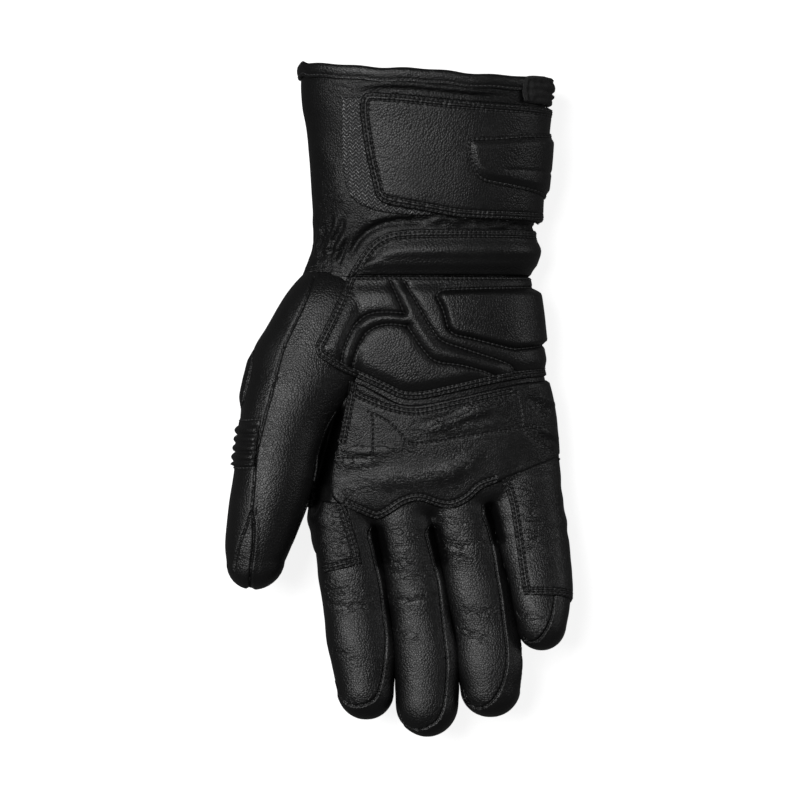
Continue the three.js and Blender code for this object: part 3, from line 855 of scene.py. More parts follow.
centres = face_middles(thumb)
seam = np.array([*THUMB_SEAM, *WEDGE_RIGHT[1:]])
seam_x = np.interp(-centres[:, 1], -seam[:, 1], seam[:, 0])
wedge = np.array(WEDGE_LEFT)
wedge_x = np.interp(-centres[:, 1], -wedge[:, 1], wedge[:, 0])
labels = np.where(centres[:, 0] > seam_x, "thumb_inner_panel", "thumb_outer_panel").astype(object)
in_wedge = (centres[:, 1] < WEDGE_TOP) & (centres[:, 0] < seam_x) & (centres[:, 0] > wedge_x)
labels[in_wedge & (centres[:, 2] > WEDGE_Z)] = "thumb_tip_panel"
cut_apart(thumb, labels)

# The seam on the inside of the thumb stands up as a lip: y, right edge, height over the thumb's middle
WEB_SEAM = [(-5, -28.6, 7), (-11, -32.2, 6), (-17, -34.8, 5.5), (-24, -36.8, 5), (-30, -37.2, 5),
            (-36, -38.2, 4)]
TIP_SEAM = [(-46, -41.2, 3), (-50, -42.6, 3), (-56, -45, 3), (-62, -47.4, 3), (-64.6, -48.6, 2)]
LIP_THICK = 1.1
# The lip is a row of cords, side by side from its edge inwards
LIP_SHIFTS = ((-0.1, 0, 0), (-1.0, 0, -0.5), (-1.9, 0, -0.9))


def cords(name, lines, thick):
    """Round cords along lines in space, as one mesh in metres."""
    curve = bpy.data.curves.new(name, "CURVE")
    curve.dimensions = "3D"
    curve.bevel_depth = thick / 2
    curve.bevel_resolution = 1
    curve.use_fill_caps = True
    for line in lines:
        spline = curve.splines.new("POLY")
        spline.points.add(len(line) - 1)
        for point, spot in zip(spline.points, line):
            point.co = (*spot, 1)
    mesh = applied(placed(name, curve))
    mesh.transform(Matrix.Scale(MM, 4))
    mesh.materials.clear()
    return mesh


thumb_rows = np.array(THUMB, float)
web_lines = []
for rows in (WEB_SEAM, TIP_SEAM):
    y, x, above = flow(rows, 1).T
    z = np.interp(-y, -thumb_rows[:, 0], thumb_rows[:, 3]) + above
    web_lines.append(np.stack([x, y, z], axis=1))
lips = [line + np.array(shift) for line in web_lines for shift in LIP_SHIFTS]
dressed("thumb_web_seam_leather", cords("web", lips, LIP_THICK), cowhide, [])


# Wrist pad
# A band of foam under one hide, sewn across the wrist just above the seam. It goes on round the
# little-finger side, down to the back of the hand.

SHEET_STEP = 1.1
FAR = 85
STITCH = {"pitch": 2.1, "thick": 0.56, "groove": 0.34, "hole": 0.8}


class Side:
    """A rounded side that sewn-on pieces wrap round. Rows: y, reach, radius and height of its centre."""

    def __init__(self, sign, end, forms, rows):
        self.sign = sign
        self.end = math.radians(end)
        self.forms = forms
        self.rows = np.array(rows, float)

    def at(self, y):
        return [np.interp(-y, -self.rows[:, 0], self.rows[:, k]) for k in (1, 2, 3)]

    def unroll(self, points):
        """Points as seen from above, laid out flat: past the side's centre, x becomes the way round it."""
        x, y = np.array(points, float).T
        reach, radius, _ = self.at(y)
        middle = reach - radius
        turn = np.arcsin(np.clip((x * self.sign - middle) / radius, 0, 1))
        turn = np.where(np.abs(x) >= FAR, self.end, turn)
        return np.stack([np.where(x * self.sign > middle, middle + radius * turn, x * self.sign), y], axis=1)

    def land(self, flat):
        """Where points of the flat layout touch the glove, and which way is out there."""
        s, y = np.array(flat).T
        reach, radius, z = self.at(y)
        middle = reach - radius
        turn = np.maximum(0, (s - middle) / radius)
        outs = np.stack([self.sign * np.sin(turn), np.zeros_like(s), np.cos(turn)], axis=1)
        starts = np.stack([self.sign * np.minimum(s, middle), y, z], axis=1)
        spots = []
        for start, out, r in zip(map(Vector, starts), map(Vector, outs), radius):
            hits = [form.ray_cast(start + out * CLEAR, -out)[0] for form in self.forms]
            reached = [(hit - start).dot(out) for hit in hits if hit]
            spots.append(start + out * max(reached, default=r))
        return np.array(spots), outs


LITTLE_SIDE = Side(1, 112, (cuff_form, hand_form, thumb_form), [
    (152, 65.8, 22, 24), (122, 63.5, 23, 22), (90, 60.8, 22, 21), (55, 57.6, 19, 18),
    (26, 61.8, 19, 18.5), (0, 68, 17, 17.5), (-36, 71.4, 14, 17), (-46, 72, 12.5, 18),
    (-79, 76, 11.5, 22.8), (-101, 74.6, 10.5, 27.8),
])


def beside(line, distance):
    """A line moved sideways, to its left as it runs."""
    line = np.array(line, float)
    runs = np.diff(line, axis=0)
    runs /= np.linalg.norm(runs, axis=1)[:, None]
    sides = np.stack([-runs[:, 1], runs[:, 0]], axis=1)
    corners = np.vstack([sides[:1], sides[:-1] + sides[1:], sides[-1:]])
    corners /= np.linalg.norm(corners, axis=1)[:, None]
    reach = distance / np.maximum(0.4, np.sum(corners * np.vstack([sides[:1], sides]), axis=1))
    return line + corners * reach[:, None]


def paces(line):
    """How far along a line each of its points is."""
    return np.concatenate([[0], np.cumsum(np.linalg.norm(np.diff(line, axis=0), axis=1))])


def rolled(edge, thickness, radius=0.9):
    """A folded edge: the height above what it lies on, by the distance from the edge."""
    t = np.clip(edge / radius, 0, 1)
    return thickness * (0.35 + 0.65 * np.sqrt(1 - (1 - t) ** 2))


class Sheet:
    """A flat-cut piece that is laid on the glove. Its outline is a list of smooth stretches from corner to
    corner. Rows of stitches run at the insets from the sewn edges, and along the sewn and faint lines."""

    def __init__(self, stretches, rise, side=LITTLE_SIDE, step=SHEET_STEP, insets=(), sewn_edges=(),
                 sewn=(), faint=(), scored=(), wrinkles=(), rounds=6):
        self.side = side
        self.rise = rise
        edges = [flow(side.unroll(stretch), 1.6) for stretch in stretches]
        self.outline = np.vstack([edge[:-1] for edge in edges])
        x, y = self.outline.T
        inwards = np.sign(np.sum(x * np.roll(y, -1) - y * np.roll(x, -1)))
        self.rows = [beside(edges[k], inwards * inset) for k in sewn_edges for inset in insets]
        self.rows += [flow(side.unroll(line), 1.6) for line in [*sewn, *faint]]
        self.pulls = [1.0] * (len(self.rows) - len(faint)) + [0.5] * len(faint)
        bm = self.bm = bmesh.new()
        bm.faces.new([bm.verts.new((x, y, 0)) for x, y in self.outline])
        bm.normal_update()
        if bm.faces[:][0].normal.z < 0:
            bmesh.ops.reverse_faces(bm, faces=bm.faces)
        middle = bm.faces[:]
        for thickness in (0.35, 0.55):
            bmesh.ops.inset_region(bm, faces=middle, thickness=thickness, use_even_offset=True)
        for axis in (0, 1):
            values = [v.co[axis] for v in bm.verts]
            for at in np.arange(min(values) + step / 2, max(values), step):
                spot, normal = Vector(), Vector()
                spot[axis], normal[axis] = at, 1
                bmesh.ops.bisect_plane(bm, geom=whole(bm), dist=0.02, plane_co=spot, plane_no=normal)
        for line in scored:
            score(bm, flow(side.unroll(line), 3), reach=2.2, flat=True)
        for reach in (0.9, 0.7):
            middles = edge_middles(bm)
            near = np.zeros(len(middles), bool)
            for row in self.rows:
                near |= away(middles, row)[0] < reach
            halve(bm, near)
        flat = coordinates(bm)[:, :2]
        spots, outs = side.land(flat)
        settle(bm, spots)
        relax(bm, [v for v in bm.verts if not v.is_boundary], rounds)
        settle(bm, coordinates(bm) + outs * self.heights(flat)[:, None])
        if wrinkles:
            wrinkled(bm, flat, wrinkles)
        if side.sign < 0:
            bmesh.ops.reverse_faces(bm, faces=bm.faces)

    def heights(self, flat, holes=True):
        edge = away(flat, np.vstack([self.outline, self.outline[:1]]))[0]
        rise = self.rise(flat, edge)
        for row, pull in zip(self.rows, self.pulls):
            d, along, _ = away(flat, row)
            rise = rise - pull * STITCH["groove"] * bell(d, 0.5)
            if holes:
                beyond_hole = (along + STITCH["pitch"] / 2) % STITCH["pitch"] - STITCH["pitch"] / 2
                rise = rise - pull * STITCH["hole"] * bell(d, 0.4) * bell(beyond_hole, 0.42)
        return rise

    def tracks(self):
        """The rows' ways over the finished piece: how far along, where and which way is out."""
        made = []
        for row in self.rows:
            passed = paces(row)
            along = np.arange(0, passed[-1], 0.35)
            flat = np.stack([np.interp(along, passed, row[:, k]) for k in (0, 1)], axis=1)
            spots, outs = self.side.land(flat)
            made.append((along, spots + outs * self.heights(flat, holes=False)[:, None], outs))
        return made

    def finished(self, name, thickness, material, nodes):
        return dressed(name, with_wall(self.bm, thickness), material, nodes)


WRIST_PAD = [
    [(-23.4, 55.6), (-20.6, 60), (-17.3, 64.9), (-12.8, 70.3), (-7, 73.9), (-0.2, 75.5), (13.3, 76.1),
     (40, 76.3), (FAR, 76.1)],
    [(FAR, 76.1), (FAR, 55.6)],
    [(FAR, 55.6), (-23.4, 55.6)],
]


def wrist_rise(flat, edge):
    upper_side = smooth((flat[:, 1] - 60) / 4)
    puff = smooth((edge - 2.2 * upper_side) / 8)
    return rolled(edge, 1.4) + 3.2 * puff + 0.12 * wander(np.c_[flat, edge], 9, 5)


wrist_pad = Sheet(WRIST_PAD, wrist_rise, insets=(1.3, 3.3), sewn_edges=(0,),
                  wrinkles=[([(-18, 60), (-6, 70)], 0.3, 5)])
wrist_pad.finished("wrist_pad_leather", 1.2, cowhide, ["wrist_pad"])


# Heel pad
# Foam under one hide on the heel of the hand, quilted by stitched channels. Two of them run side by
# side with a raised cord between, and a firmer plate stands up on the little-finger side.

HEEL_PAD = [
    [(-23.6, 55.2), (-28.1, 43.7), (-35.3, 28.9), (-37.6, 24.6), (-36.6, 19.6), (-33, 17), (-26.8, 13.1),
     (-16, 8.2), (-6.1, 3.6), (0.7, 0.6), (9.7, 0.3), (23.2, 3.0), (44.8, 7.8), (58, 9.8), (FAR, 11.2)],
    [(FAR, 11.2), (FAR, 55.2)],
    [(FAR, 55.2), (-23.6, 55.2)],
]
CHANNELS = [
    [(-5.2, 55), (-2.5, 49.1), (0.7, 41.5), (1.6, 38.8)],
    [(0.7, 55), (7, 44), (14.6, 31.1), (19.1, 26.2), (30, 22.4), (43, 18.1), (49, 15.6), (52.4, 12.2)],
    [(3.4, 32.9), (11, 21.7), (16.4, 17.2), (27.7, 15.4), (38.9, 12.2), (44, 9.4)],
    [(1.6, 38.8), (-7.9, 39.2), (-14.6, 37.9), (-19.8, 33.8), (-22.3, 29.3), (-25, 22.6), (-26.3, 15.8)],
    [(3.4, 32.9), (-3.4, 33.8), (-10.1, 32.9), (-15.5, 29.3), (-19.1, 22.6), (-21.4, 14.4)],
]
CORDS = [
    [(-1.6, 55), (2.4, 46), (5.6, 38), (9.4, 31.5), (13.6, 25), (17.6, 21.4), (28, 18.9), (40, 15),
     (47, 11)],
    [(2.5, 36), (-6, 36.6), (-12.4, 35.4), (-17.8, 31.5), (-20.8, 25.5), (-23.8, 16)],
]
PLATE_TOP = [(21.4, 32), (19.1, 40.6), (16.4, 46.3), (18, 48.6), (21.6, 49.2), (36.2, 49.8),
             (61.9, 50.6), (FAR, 50.6)]
PLATE_FOOT = [(FAR, 25), (64.6, 24.8), (54.2, 23), (49.3, 23), (40.3, 25.3), (31.7, 27.5),
              (24.4, 29.2), (21.4, 32)]
HEEL_FOOT = [(-22.4, 54.3), (20, 54.3), (FAR, 54.3)]


def heel_rise(flat, edge):
    rise = rolled(edge, 1.5) + 1.6 * smooth((edge - 2.5) / 6)
    within = smooth((edge - 1.5) / 2)
    for line in CHANNELS:
        d = away(flat, flow(LITTLE_SIDE.unroll(line), 2))[0]
        rise -= within * (0.55 * bell(d, 0.8) + 0.75 * bell(d, 2.1))
    for line in CORDS:
        d = away(flat, flow(LITTLE_SIDE.unroll(line), 2))[0]
        rise += within * 0.8 * bell(d, 2.3)
    plate = np.vstack([flow(LITTLE_SIDE.unroll(line), 2)[:-1] for line in (PLATE_TOP, PLATE_FOOT)])
    d = away(flat, np.vstack([plate, plate[:1]]))[0]
    rise += np.where(inside(flat, plate), 1.9 * smooth(d / 2.6), 0) - 0.8 * bell(d, 0.9)
    return rise + 0.12 * wander(np.c_[flat, edge], 10, 7)


heel_pad = Sheet(HEEL_PAD, heel_rise, step=0.9, insets=(1.3, 3.3), sewn_edges=(0,),
                 sewn=[*CHANNELS, PLATE_TOP, PLATE_FOOT, HEEL_FOOT])
heel_pad.finished("heel_pad_leather", 1.2, cowhide, ["heel_pad"])


# Palm overlay
# A second skin of soft goatskin over the grip, with a wavy turned edge, double-stitched all round.
# Use has pulled soft folds across it.

OVERLAY = [
    [(-22.6, 8.6), (-24.1, 0.1), (-26.8, -13.4), (-27.8, -18.4)],
    [(-27.8, -18.4), (-30, -26.9), (-31.4, -35.9), (-30.4, -43), (-28, -46), (-25.4, -47.4)],
    [(-25.4, -47.4), (-19.1, -50.4), (-12, -53.4), (-8.4, -53.2), (-3.8, -50.6), (2, -46.9),
     (8.8, -45.4), (17.8, -48.3), (24.5, -48.3), (31.3, -45), (36.7, -40), (43.4, -37.3)],
    [(43.4, -37.3), (52, -33.6), (62.8, -29.6), (FAR, -23)],
    [(FAR, -23), (FAR, 9)],
    [(FAR, 9), (58, 8), (44, 5.4), (23, 0.6), (9, -2), (0, -1.6), (-8, 2.2), (-16, 6.4), (-22.6, 8.6)],
]
OVERLAY_TOP = [(-19.4, 4.2), (-18.7, 3.2), (-10, -0.6), (-2, -3.1), (8.3, -4.4), (23.6, -1.3), (50.2, 4.6)]
PALM_SEAMS = [
    [(-14.2, -5.3), (-7, -8.6), (-2, -12.5), (1.4, -16.4), (4.7, -19.3), (15.1, -18.8), (28.1, -16.6),
     (38.9, -14.8), (53.8, -13)],
    [(-12.4, -7), (-11.9, -13), (-11.9, -20.2), (-12.6, -24.8)],
    [(-27.4, -26), (-20, -26), (-12.6, -24.8)],
    [(52.4, 4.1), (54.4, -6), (55.1, -12.5), (58.3, -16.6), (70.9, -27.8)],
    [(55.6, -12.5), (68.2, -11.2)],
]
# Soft folds: line, depth and width, with depths below nothing for the ridges
PALM_FOLDS = [
    ([(7, -15.4), (20, -11), (36, -5), (48, -3.4)], -1.3, 2.1),
    ([(8, -11), (20, -7), (32, -2.4)], 0.5, 1.8),
    ([(16, -15.6), (28, -12.6), (40, -11), (50, -10)], -0.5, 1.5),
    ([(-25, -41), (-9.2, -36.6), (11, -35), (25.4, -31), (35.8, -25.4), (38.5, -19.7)], -1.3, 4.0),
    ([(-27, -22), (-16, -23.4), (-8, -22.8), (4, -21.2)], -0.6, 1.2),
    ([(-27, -29), (-18, -28.6), (-8, -25.4)], -0.5, 1.2),
    ([(57, 1.9), (62, -2), (67.3, -5.8)], 0.9, 1.5),
    ([(60, 3), (65, 0.4), (69, -3)], -0.9, 1.5),
    ([(60, -13), (65, -17), (70, -20.6)], 0.8, 1.4),
    ([(63, -12.6), (67.5, -15.6), (71, -18)], -0.8, 1.3),
]
PALM_WRINKLES = [
    ([(-26, -24), (-10, -25)], 0.8, 4), ([(0, -24), (30, -20)], 0.4, 5), ([(18, -8), (46, 0)], 0.7, 4),
]

goatskin = leather("black_goatskin", (0.0038, 0.0038, 0.004), 0.85, 1.0, 0.33, 0.9)


def overlay_rise(flat, edge):
    rise = rolled(edge, 1.75)
    for line, depth, width in PALM_FOLDS:
        rise += fold(flat, flow(LITTLE_SIDE.unroll(line), 2), depth, width, fade=0.3)
    return rise + 0.2 * wander(np.c_[flat, edge * 0], 8, 9)


palm_overlay = Sheet(OVERLAY, overlay_rise, step=1.0, insets=(1.3, 3.2), sewn_edges=(0, 2),
                     sewn=[OVERLAY_TOP, beside(OVERLAY_TOP, -1.9)], faint=PALM_SEAMS,
                     wrinkles=[(line, 0.9, 3.0) for line, _, _ in PALM_FOLDS] + PALM_WRINKLES)
palm_overlay.finished("palm_overlay_leather", 1.2, goatskin, ["palm_overlay"])


# Reinforcing patches
# Thin goatskin patches, double-stitched at their edges: one on the outside of the little finger and one
# at the root of the index finger, which goes round to its outer side.

INDEX_SIDE = Side(-1, 125, (hand_form,), [
    (-38, 39, 12, 18), (-52, 40.2, 12.5, 18), (-65, 38.2, 12.5, 18.6), (-79, 36.4, 12, 19.6),
])
LITTLE_PATCH = [
    [(43.5, -34), (46.2, -38.4), (47.9, -42), (49.9, -50.3), (52, -65.2), (54.2, -80.9), (55.6, -87.2)],
    [(55.6, -87.2), (64, -87.2), (70, -87.6), (74, -88.6), (75.9, -90.2), (FAR, -92)],
    [(FAR, -92), (FAR, -20)],
    [(FAR, -20), (62.8, -26.5), (43.5, -34)],
]
INDEX_PATCH = [
    [(-25.2, -46), (-23, -51), (-20.8, -58.5), (-18.4, -66.5), (-17, -73.2)],
    [(-17, -73.2), (-25, -75.4), (-33.1, -77.6)],
    [(-33.1, -77.6), (-36, -71), (-38.4, -63.6), (-FAR, -57)],
    [(-FAR, -57), (-FAR, -44)],
    [(-FAR, -44), (-25.2, -46)],
]


def patch_rise(flat, edge):
    return rolled(edge, 1.25) + 0.16 * wander(np.c_[flat, edge * 0], 6, 13)


def index_rise(flat, edge):
    valley = flow(INDEX_SIDE.unroll(THUMB_VALLEY), 2)
    return patch_rise(flat, edge) + fold(flat, valley, VALLEY_DEPTH, VALLEY_WIDTH, fade=0.12)


little_patch = Sheet(LITTLE_PATCH, patch_rise, insets=(1.2, 3.0), sewn_edges=(0, 1),
                     wrinkles=[([(52, -38), (59, -48), (58, -62)], 1.0, 6)])
little_patch.finished("little_finger_patch_leather", 1.1, goatskin, ["little_finger_patch"])
index_patch = Sheet(INDEX_PATCH, index_rise, side=INDEX_SIDE, insets=(1.2, 3.0), sewn_edges=(0, 1),
                    wrinkles=[([(28, -48), (24, -62), (25, -72)], 0.9, 6)])
index_patch.finished("index_patch_leather", 1.1, goatskin, ["index_patch"])


# Hook patch, strap and tab
# The strap comes round from the little-finger side and closes on a woven hook patch. It is two hides
# sewn together, with a padded pull tab whose end stands up from it.

STRAP_BASE = 2.3
HOOK_PATCH = [
    [(-25.9, 134.5), (-26, 118), (-25.4, 103.6), (-23.6, 94), (-19.6, 88.2), (-12.8, 85),
     (-5.6, 83.2), (8.8, 82), (17.8, 82.4)],
    [(17.8, 82.4), (17.8, 112.6)],
    [(17.8, 112.6), (-0.2, 135)],
    [(-0.2, 135), (-25.9, 134.5)],
]
STRAP = [
    [(FAR, 79.6), (64.1, 79.9), (44.8, 80.3), (27.7, 81), (14.2, 83.2), (2, 85.4), (-4.2, 86.6), (-8, 87.8),
     (-10.6, 90.7), (-12.6, 98), (-14.9, 107.9), (-17, 121), (-17.7, 129), (-17.2, 133.6), (-16, 135.6),
     (-13.6, 136.4), (-8, 136.2), (1.1, 135.6), (27.7, 133), (60.5, 131), (FAR, 130.6)],
    [(FAR, 130.6), (FAR, 79.6)],
]
TAB = [
    [(FAR, 121.4), (65.9, 119.8), (54.1, 118.4), (42, 117), (34.3, 116.7), (30.6, 115.8), (29.7, 111.2),
     (31.7, 102.7), (34.6, 98.6), (38.4, 96.6), (44.2, 95.4), (54.1, 93.4), (63.2, 90.5), (FAR, 90.5)],
    [(FAR, 90.5), (FAR, 121.4)],
]
TAB_CREASE = [(46.1, 102.2), (56, 102.1), (FAR, 102)]
# The hook tape's edge, where painted glints stand more thickly, from its inner side to its outer one
GLINT_EDGE = (-24.2, -25.4)


def hook_rise(flat, edge):
    return rolled(edge, 1.9, radius=0.6)


def strap_rise(flat, edge):
    slack = 0.5 * wander(np.c_[flat, edge * 0], 24, 17)
    return STRAP_BASE + rolled(edge, 1.9) + 0.2 * bell(edge - 2.4, 0.6) + slack


def tab_rise(flat, edge):
    crease = away(flat, LITTLE_SIDE.unroll(TAB_CREASE))[0]
    plate = 1.3 * smooth((edge - 1.4) / 3) - 0.4 * bell(crease, 0.5)
    under = strap_rise(flat, np.full(len(flat), 20.0))
    return under + rolled(edge, 0.9) + plate + 0.15 * wander(np.c_[flat, edge * 0], 16, 19)


def hooked(name, tint, thread, column):
    """Hook tape: rows of slanting loops in columns that lean to and fro, with painted shade in the troughs
    and painted glints on the crests.
    """
    finish = Finish(name)
    place = finish.node("ShaderNodeTexCoord", out="Object")
    x = finish.node("ShaderNodeSeparateXYZ", {}, {"Vector": place}, out="X")
    y = finish.node("ShaderNodeSeparateXYZ", {}, {"Vector": place}, out="Y")
    lean = x.maths("PINGPONG", x, column * MM)
    slant = (y + lean * 1.1) * (2 * math.pi / (thread * MM))
    loops = slant.maths("SINE", slant) * 0.5 + 0.5
    glint_edge = finish.spread(x, *(edge * MM for edge in GLINT_EDGE))
    fuzz_and_glint_noise = finish.noise(place, 1900.0, 2.0) + glint_edge * 0.07
    # Painted glints: bright grey spots scattered on the loops' crests, more of them near the tape's edge.
    painted_glint = finish.spread(fuzz_and_glint_noise, 0.58, 0.66) * loops
    bump = finish.bump(loops + fuzz_and_glint_noise * 0.5, 0.4 * MM)
    # The troughs between the loops are painted darker: painted shade.
    dark = [c * 0.12 for c in tint] + [1]
    shade = finish.mixed(loops, dark, (*tint, 1))
    colour = finish.mixed(painted_glint, shade, (0.5, 0.5, 0.5, 1))
    return finish.feed(Base_Color=colour, Roughness=0.6 - loops * 0.3, Normal=bump)


hook_tape = hooked("black_hook_tape", (0.075, 0.075, 0.077), 1.7, 1.4)
hook_patch = Sheet(HOOK_PATCH, hook_rise)
hook_patch.finished("hook_patch_tape", 1.2, hook_tape, ["hook_patch"])
strap = Sheet(STRAP, strap_rise, insets=(1.3, 3.4), sewn_edges=(0,))
strap.finished("cuff_strap_leather", 1.8, cowhide, ["cuff_strap"])
tab = Sheet(TAB, tab_rise, step=0.9, insets=(1.1,), sewn_edges=(0,), scored=(TAB_CREASE,))
tab.finished("strap_tab_leather", 1.6, cowhide, ["strap_tab"])


# Hem and gusset
# The mouth is bound by a band of hide, rolled over the edge and sewn down below it. At the mouth's
# little-finger corner a pleat of brushed textile lets the cuff open.

HEM_SIDES = 240
HEM_STITCH = 5.4
CORNER_X = -43.6
# The band's section, round from its lower edge: way down from the mouth, height above the cuff
HEM = [
    (6.6, 0.25), (6.5, 1.0), (6.0, 1.35), (5.4, 1.05), (4.8, 1.4), (3.6, 1.75), (2.2, 1.8),
    (1.1, 1.6), (0.4, 1.1), (0.05, 0.4), (0, -0.6), (0.2, -1.6), (0.8, -2.4), (2, -2.9),
    (4, -3.0), (6.2, -2.9), (6.3, -2.3),
]
GUSSET = [
    [(54.6, 133), (53.9, 139), (54.8, 143.4), (58, 144.6), (64, 144.4), (FAR, 143.6)],
    [(FAR, 143.6), (FAR, 132.4)],
    [(FAR, 132.4), (66, 131.8), (60, 132.2), (54.6, 133)],
]
GUSSET_PLEATS = [
    ([(55, 142), (61, 141.4), (66, 142.6), (FAR, 141)], 1.0, 1.0),
    ([(55, 137.6), (60, 138.6), (66, 137.4), (FAR, 138)], 1.3, 0.9),
    ([(57, 134.6), (63, 135.2), (FAR, 134.4)], 0.9, 0.8),
    ([(56.4, 133.4), (55.9, 138), (56.6, 143)], 1.5, 0.8),
]

ovals = np.array(OVALS, float)
hem_turns = even_turns(OVALS[1], HEM_SIDES)


def mouth_ring(down, grow):
    """A ring round the mouth, at a way down from its slanted edge and a height above the cuff."""
    y = np.full(HEM_SIDES, 147.0)
    for _ in range(5):
        row = [y] + [np.interp(-y, -ovals[:, 0], ovals[:, k]) for k in range(1, 6)]
        ring = on_oval(row, hem_turns, grow=grow)
        slope = (MOUTH_RIGHT[1] - MOUTH_LEFT[1]) / (MOUTH_RIGHT[0] - MOUTH_LEFT[0])
        wave = 0.35 * np.sin(ring[:, 0] / 7) + 0.25 * np.sin(ring[:, 0] / 3.1 + 1)
        wave += 1.5 * bell(ring[:, 0] - CORNER_X, 1.7) * smooth((ring[:, 2] - 10) / 20)
        y = MOUTH_LEFT[1] + (ring[:, 0] - MOUTH_LEFT[0]) * slope - 0.6 + wave - down
    return ring


hem = bmesh.new()
loft(hem, [mouth_ring(down, grow) for down, grow in [*HEM, HEM[0]]])
bmesh.ops.remove_doubles(hem, verts=hem.verts, dist=0.01)
bmesh.ops.recalc_face_normals(hem, faces=hem.faces)


def solid(name, bm, material, nodes, slot, padding=None):
    """A closed form as a finished piece."""
    mesh = bpy.data.meshes.new(name)
    bmesh.ops.scale(bm, vec=(MM, MM, MM), verts=bm.verts)
    bm.to_mesh(mesh)
    bm.free()
    return dressed(name, mesh, material, nodes)


solid("hem_leather", hem, cowhide, ["hem"], "black_leather")


def brushed(name, tint):
    """Brushed textile: a matt, fuzzy pile."""
    finish = Finish(name)
    place = finish.node("ShaderNodeTexCoord", out="Object")
    pile = finish.noise(place, 1500.0, 6.0, {"Roughness": 0.7})
    bump = finish.bump(pile, 0.7 * MM)
    finish.surface.inputs["Sheen Weight"].default_value = 0.08
    finish.surface.inputs["Sheen Roughness"].default_value = 0.4
    return finish.feed(Base_Color=(*tint, 1), Roughness=0.75 - pile * 0.2, Normal=bump)


def gusset_rise(flat, edge):
    rise = 0.6 + rolled(edge, 3.2, radius=3.4) + 0.9 * wander(np.c_[flat, edge * 0], 2.7, 23)
    for line, depth, width in GUSSET_PLEATS:
        rise += fold(flat, flow(LITTLE_SIDE.unroll(line), 1), depth, width, fade=0.1)
    return rise


fleece = brushed("black_fleece", (0.004, 0.004, 0.0042))
gusset = Sheet(GUSSET, gusset_rise, step=0.6, rounds=2)
gusset.finished("gusset_fleece", 1.0, fleece, ["gusset_fold"])


# Stretch ribs and thumb pad
# Five soft bars of hide are gathered across the thumb's outer side, between two rows of stitches. A
# small foam pad above them guards the joint, sewn on along its edge.

THUMB_SIDE = Side(-1, 140, (thumb_form,), [
    (33, 59.4, 18, 22), (24, 64.8, 18.5, 23), (14, 67.6, 18.5, 24.4), (6.4, 69.4, 18.5, 25.8),
    (-1, 70.6, 18, 27.4), (-10, 71.2, 17.5, 29.4), (-18.4, 72, 17, 31.2), (-26, 73, 16, 32.6),
    (-36, 74.2, 15.5, 34),
])
RIBS = [
    [(-60.8, -7.6), (-66, -7.9), (-FAR, -8.6)],
    [(-FAR, -8.6), (-FAR, -31.2)],
    [(-FAR, -31.2), (-68, -31.2), (-63.9, -30.8)],
    [(-63.9, -30.8), (-62.6, -19), (-60.8, -7.6)],
]
RIB_FIRST = -11.4
RIB_PITCH = 3.95
RIB_COUNT = 4.4
THUMB_PAD = [
    [(-64.6, 22.6), (-65.6, 15), (-67.4, 7), (-69.4, -1), (-70.8, -4)],
    [(-70.8, -4), (-FAR, -4.4)],
    [(-FAR, -4.4), (-FAR, 23)],
    [(-FAR, 23), (-64.6, 22.6)],
]


def rib_rise(flat, edge):
    bar = (RIB_FIRST - flat[:, 1]) / RIB_PITCH
    ribbed = np.where((bar > 0) & (bar < RIB_COUNT), np.abs(np.sin(math.pi * bar)) ** 0.6, 0.15)
    return rolled(edge, 0.35) + 1.9 * ribbed * smooth(edge / 1.2)


def thumb_pad_rise(flat, edge):
    return rolled(edge, 0.4) + 1.2 * smooth(edge / 6)


ribs = Sheet(RIBS, rib_rise, side=THUMB_SIDE, step=0.7, insets=(1.0,), sewn_edges=(0, 2), rounds=3)
ribs.finished("thumb_rib_leather", 1.0, cowhide, ["thumb_ribs"])
thumb_pad = Sheet(THUMB_PAD, thumb_pad_rise, side=THUMB_SIDE, insets=(1.1,), sewn_edges=(0,))
thumb_pad.finished("thumb_back_pad_leather", 1.0, cowhide, ["thumb_back_pad"])


# Stitching
# Bonded black thread. Every stitch rises out of one needle hole and dives into the next, and pulls the
# leather down into a groove. Edges that take strain carry two rows.

# A stitch from hole to hole: share of the pitch, height of the thread above the groove
ARCH = [(0.06, -0.6), (0.2, 0.02), (0.5, 0.16), (0.8, 0.02), (0.94, -0.6)]
FINE_STITCH = {"pitch": 1.75, "thick": 0.42}
WRIST_ROWS = [
    [(-40.6, 59.6), (-37, 60.2), (-32, 60), (-25.2, 58.6)],
    [(-40.8, 57.4), (-37, 58.2), (-32, 58), (-24.6, 56.8)],
]


def thread_finish():
    finish = Finish("black_thread")
    place = finish.node("ShaderNodeTexCoord", out="Object")
    twist = finish.noise(place, 5200.0, 1.0)
    bump = finish.bump(twist, 0.1 * MM, strength=0.4)
    return finish.feed(Base_Color=(0.024, 0.024, 0.0245, 1), Roughness=0.36 + twist * 0.1, Normal=bump)


thread = thread_finish()


def sew(name, tracks, slot="black_leather", pitch=STITCH["pitch"], thick=STITCH["thick"]):
    """Stitches along tracks: how far along, where the groove's floor is, and which way is out there."""
    stitches = []
    for along, spots, outs in tracks:
        count = int(along[-1] / pitch)
        where = np.array([(k + share) * pitch for k in range(count) for share, _ in ARCH])
        height = np.tile([height for _, height in ARCH], count)
        path, out = (np.stack([np.interp(where, along, rows[:, k]) for k in range(3)], axis=1)
                     for rows in (spots, outs))
        for stitch in (path + out * height[:, None]).reshape(count, len(ARCH), 3):
            if np.linalg.norm(stitch[-1] - stitch[0]) < 1.4 * pitch:
                stitches.append(stitch)
    return dressed(name, cords(name, stitches, thick), thread, [])


def laid(line, lift, side=LITTLE_SIDE):
    """A track along a line seen from above, at a height over the glove's plain skin."""
    row = flow(side.unroll(line), 0.6)
    spots, outs = side.land(row)
    return paces(row), spots + outs * lift, outs


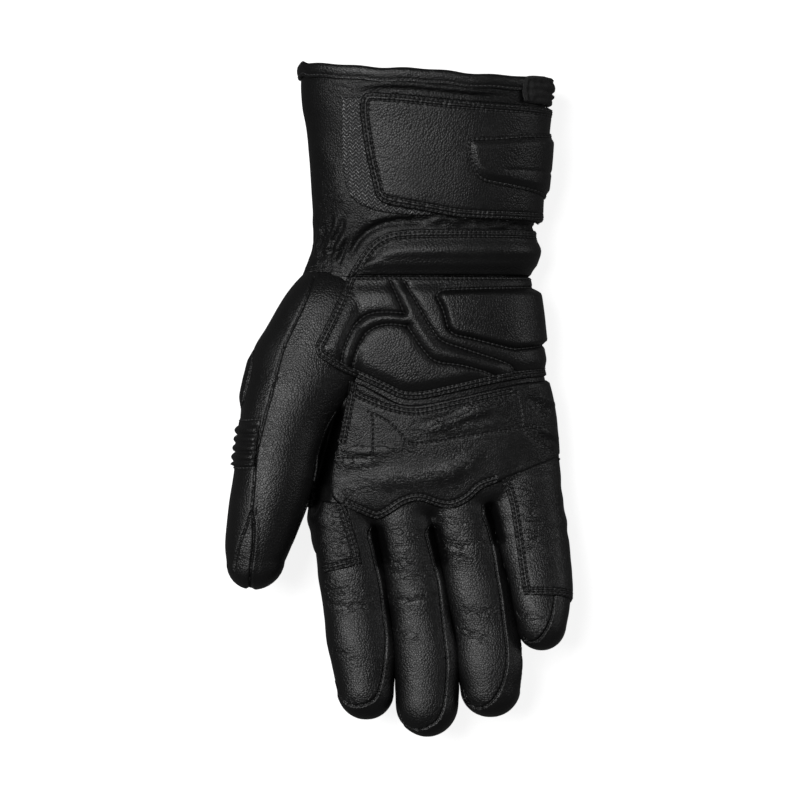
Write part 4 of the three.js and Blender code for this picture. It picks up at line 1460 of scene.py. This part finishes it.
sew("wrist_pad_stitching", wrist_pad.tracks())
sew("heel_pad_stitching", heel_pad.tracks())
sew("palm_overlay_stitching", palm_overlay.tracks(), "palm_leather")
sew("little_finger_patch_stitching", little_patch.tracks(), "palm_leather")
sew("index_patch_stitching", index_patch.tracks(), "palm_leather")
sew("cuff_strap_stitching", strap.tracks())
sew("strap_tab_stitching", tab.tracks())
sew("thumb_rib_stitching", ribs.tracks())
sew("thumb_back_pad_stitching", thumb_pad.tracks())
sew("wrist_seam_stitching", [laid(row, 0.45) for row in WRIST_ROWS])
sew("finger_seam_stitching", [laid(seam, -0.35) for seam in open_seams.values()], **FINE_STITCH)
web_line = web_lines[0]
web_top, web_up = web_line + np.array((0, 0, LIP_THICK / 2)), np.tile((0.0, 0, 1), (len(web_line), 1))
sew("thumb_web_stitching", [(paces(web_line), web_top, web_up)], **FINE_STITCH)
hem_floor, hem_above = mouth_ring(HEM_STITCH, 1.1), mouth_ring(HEM_STITCH, 2.1)
sew("hem_stitching", [(paces(hem_floor), hem_floor, hem_above - hem_floor)])


# Studio
# A pale floor that throws no light on the glove, a large soft lamp on the thumb's side and a small one
# that draws the rim across from it. The camera looks straight down, as in the photograph.

VIEW_WIDTH = 0.36
LENS = 200
SENSOR = 36
EYE_PLANE = 0.022
FLOOR_GLOW = (0.86, 0.86, 0.86, 1)
WORLD_STRENGTH = 0.08

floor_mesh = bpy.data.meshes.new("floor")
ground = bmesh.new()
bmesh.ops.create_grid(ground, x_segments=1, y_segments=1, size=4)
ground.to_mesh(floor_mesh)
ground.free()
floor = placed("floor", floor_mesh)
paper = Finish("pale_floor")
paper.surface.inputs["Emission Strength"].default_value = 1.0
paper.feed(Base_Color=(0.5, 0.5, 0.5, 1), Roughness=0.9, Emission_Color=FLOOR_GLOW)
floor_mesh.materials.append(paper.material)
floor.visible_diffuse = False
floor.visible_glossy = False

eye = bpy.data.cameras.new("eye")
eye.lens = LENS
eye.sensor_width = SENSOR
camera = placed("eye", eye)
camera.location = (0, 0, EYE_PLANE + VIEW_WIDTH * LENS / SENSOR)
bpy.context.scene.camera = camera

# Lamps: name, place, size and power in watts
LAMPS = [
    ("key", (-1.0, 0.45, 2.1), 1.3, 39),
    ("rim", (1.6, 0.4, 0.6), 0.5, 3),
]
for name, spot, size, power in LAMPS:
    lamp = bpy.data.lights.new(name, "AREA")
    lamp.size = size
    lamp.energy = power
    light = placed(name, lamp)
    light.location = spot
    light.rotation_euler = (-Vector(spot)).to_track_quat("-Z", "Y").to_euler()
world = bpy.data.worlds.new("studio")
bpy.context.scene.world = world
world.use_nodes = True
backdrop = world.node_tree.nodes["Background"]
backdrop.inputs["Color"].default_value = (1, 1, 1, 1)
backdrop.inputs["Strength"].default_value = WORLD_STRENGTH
bpy.context.scene.view_settings.view_transform = "Standard"
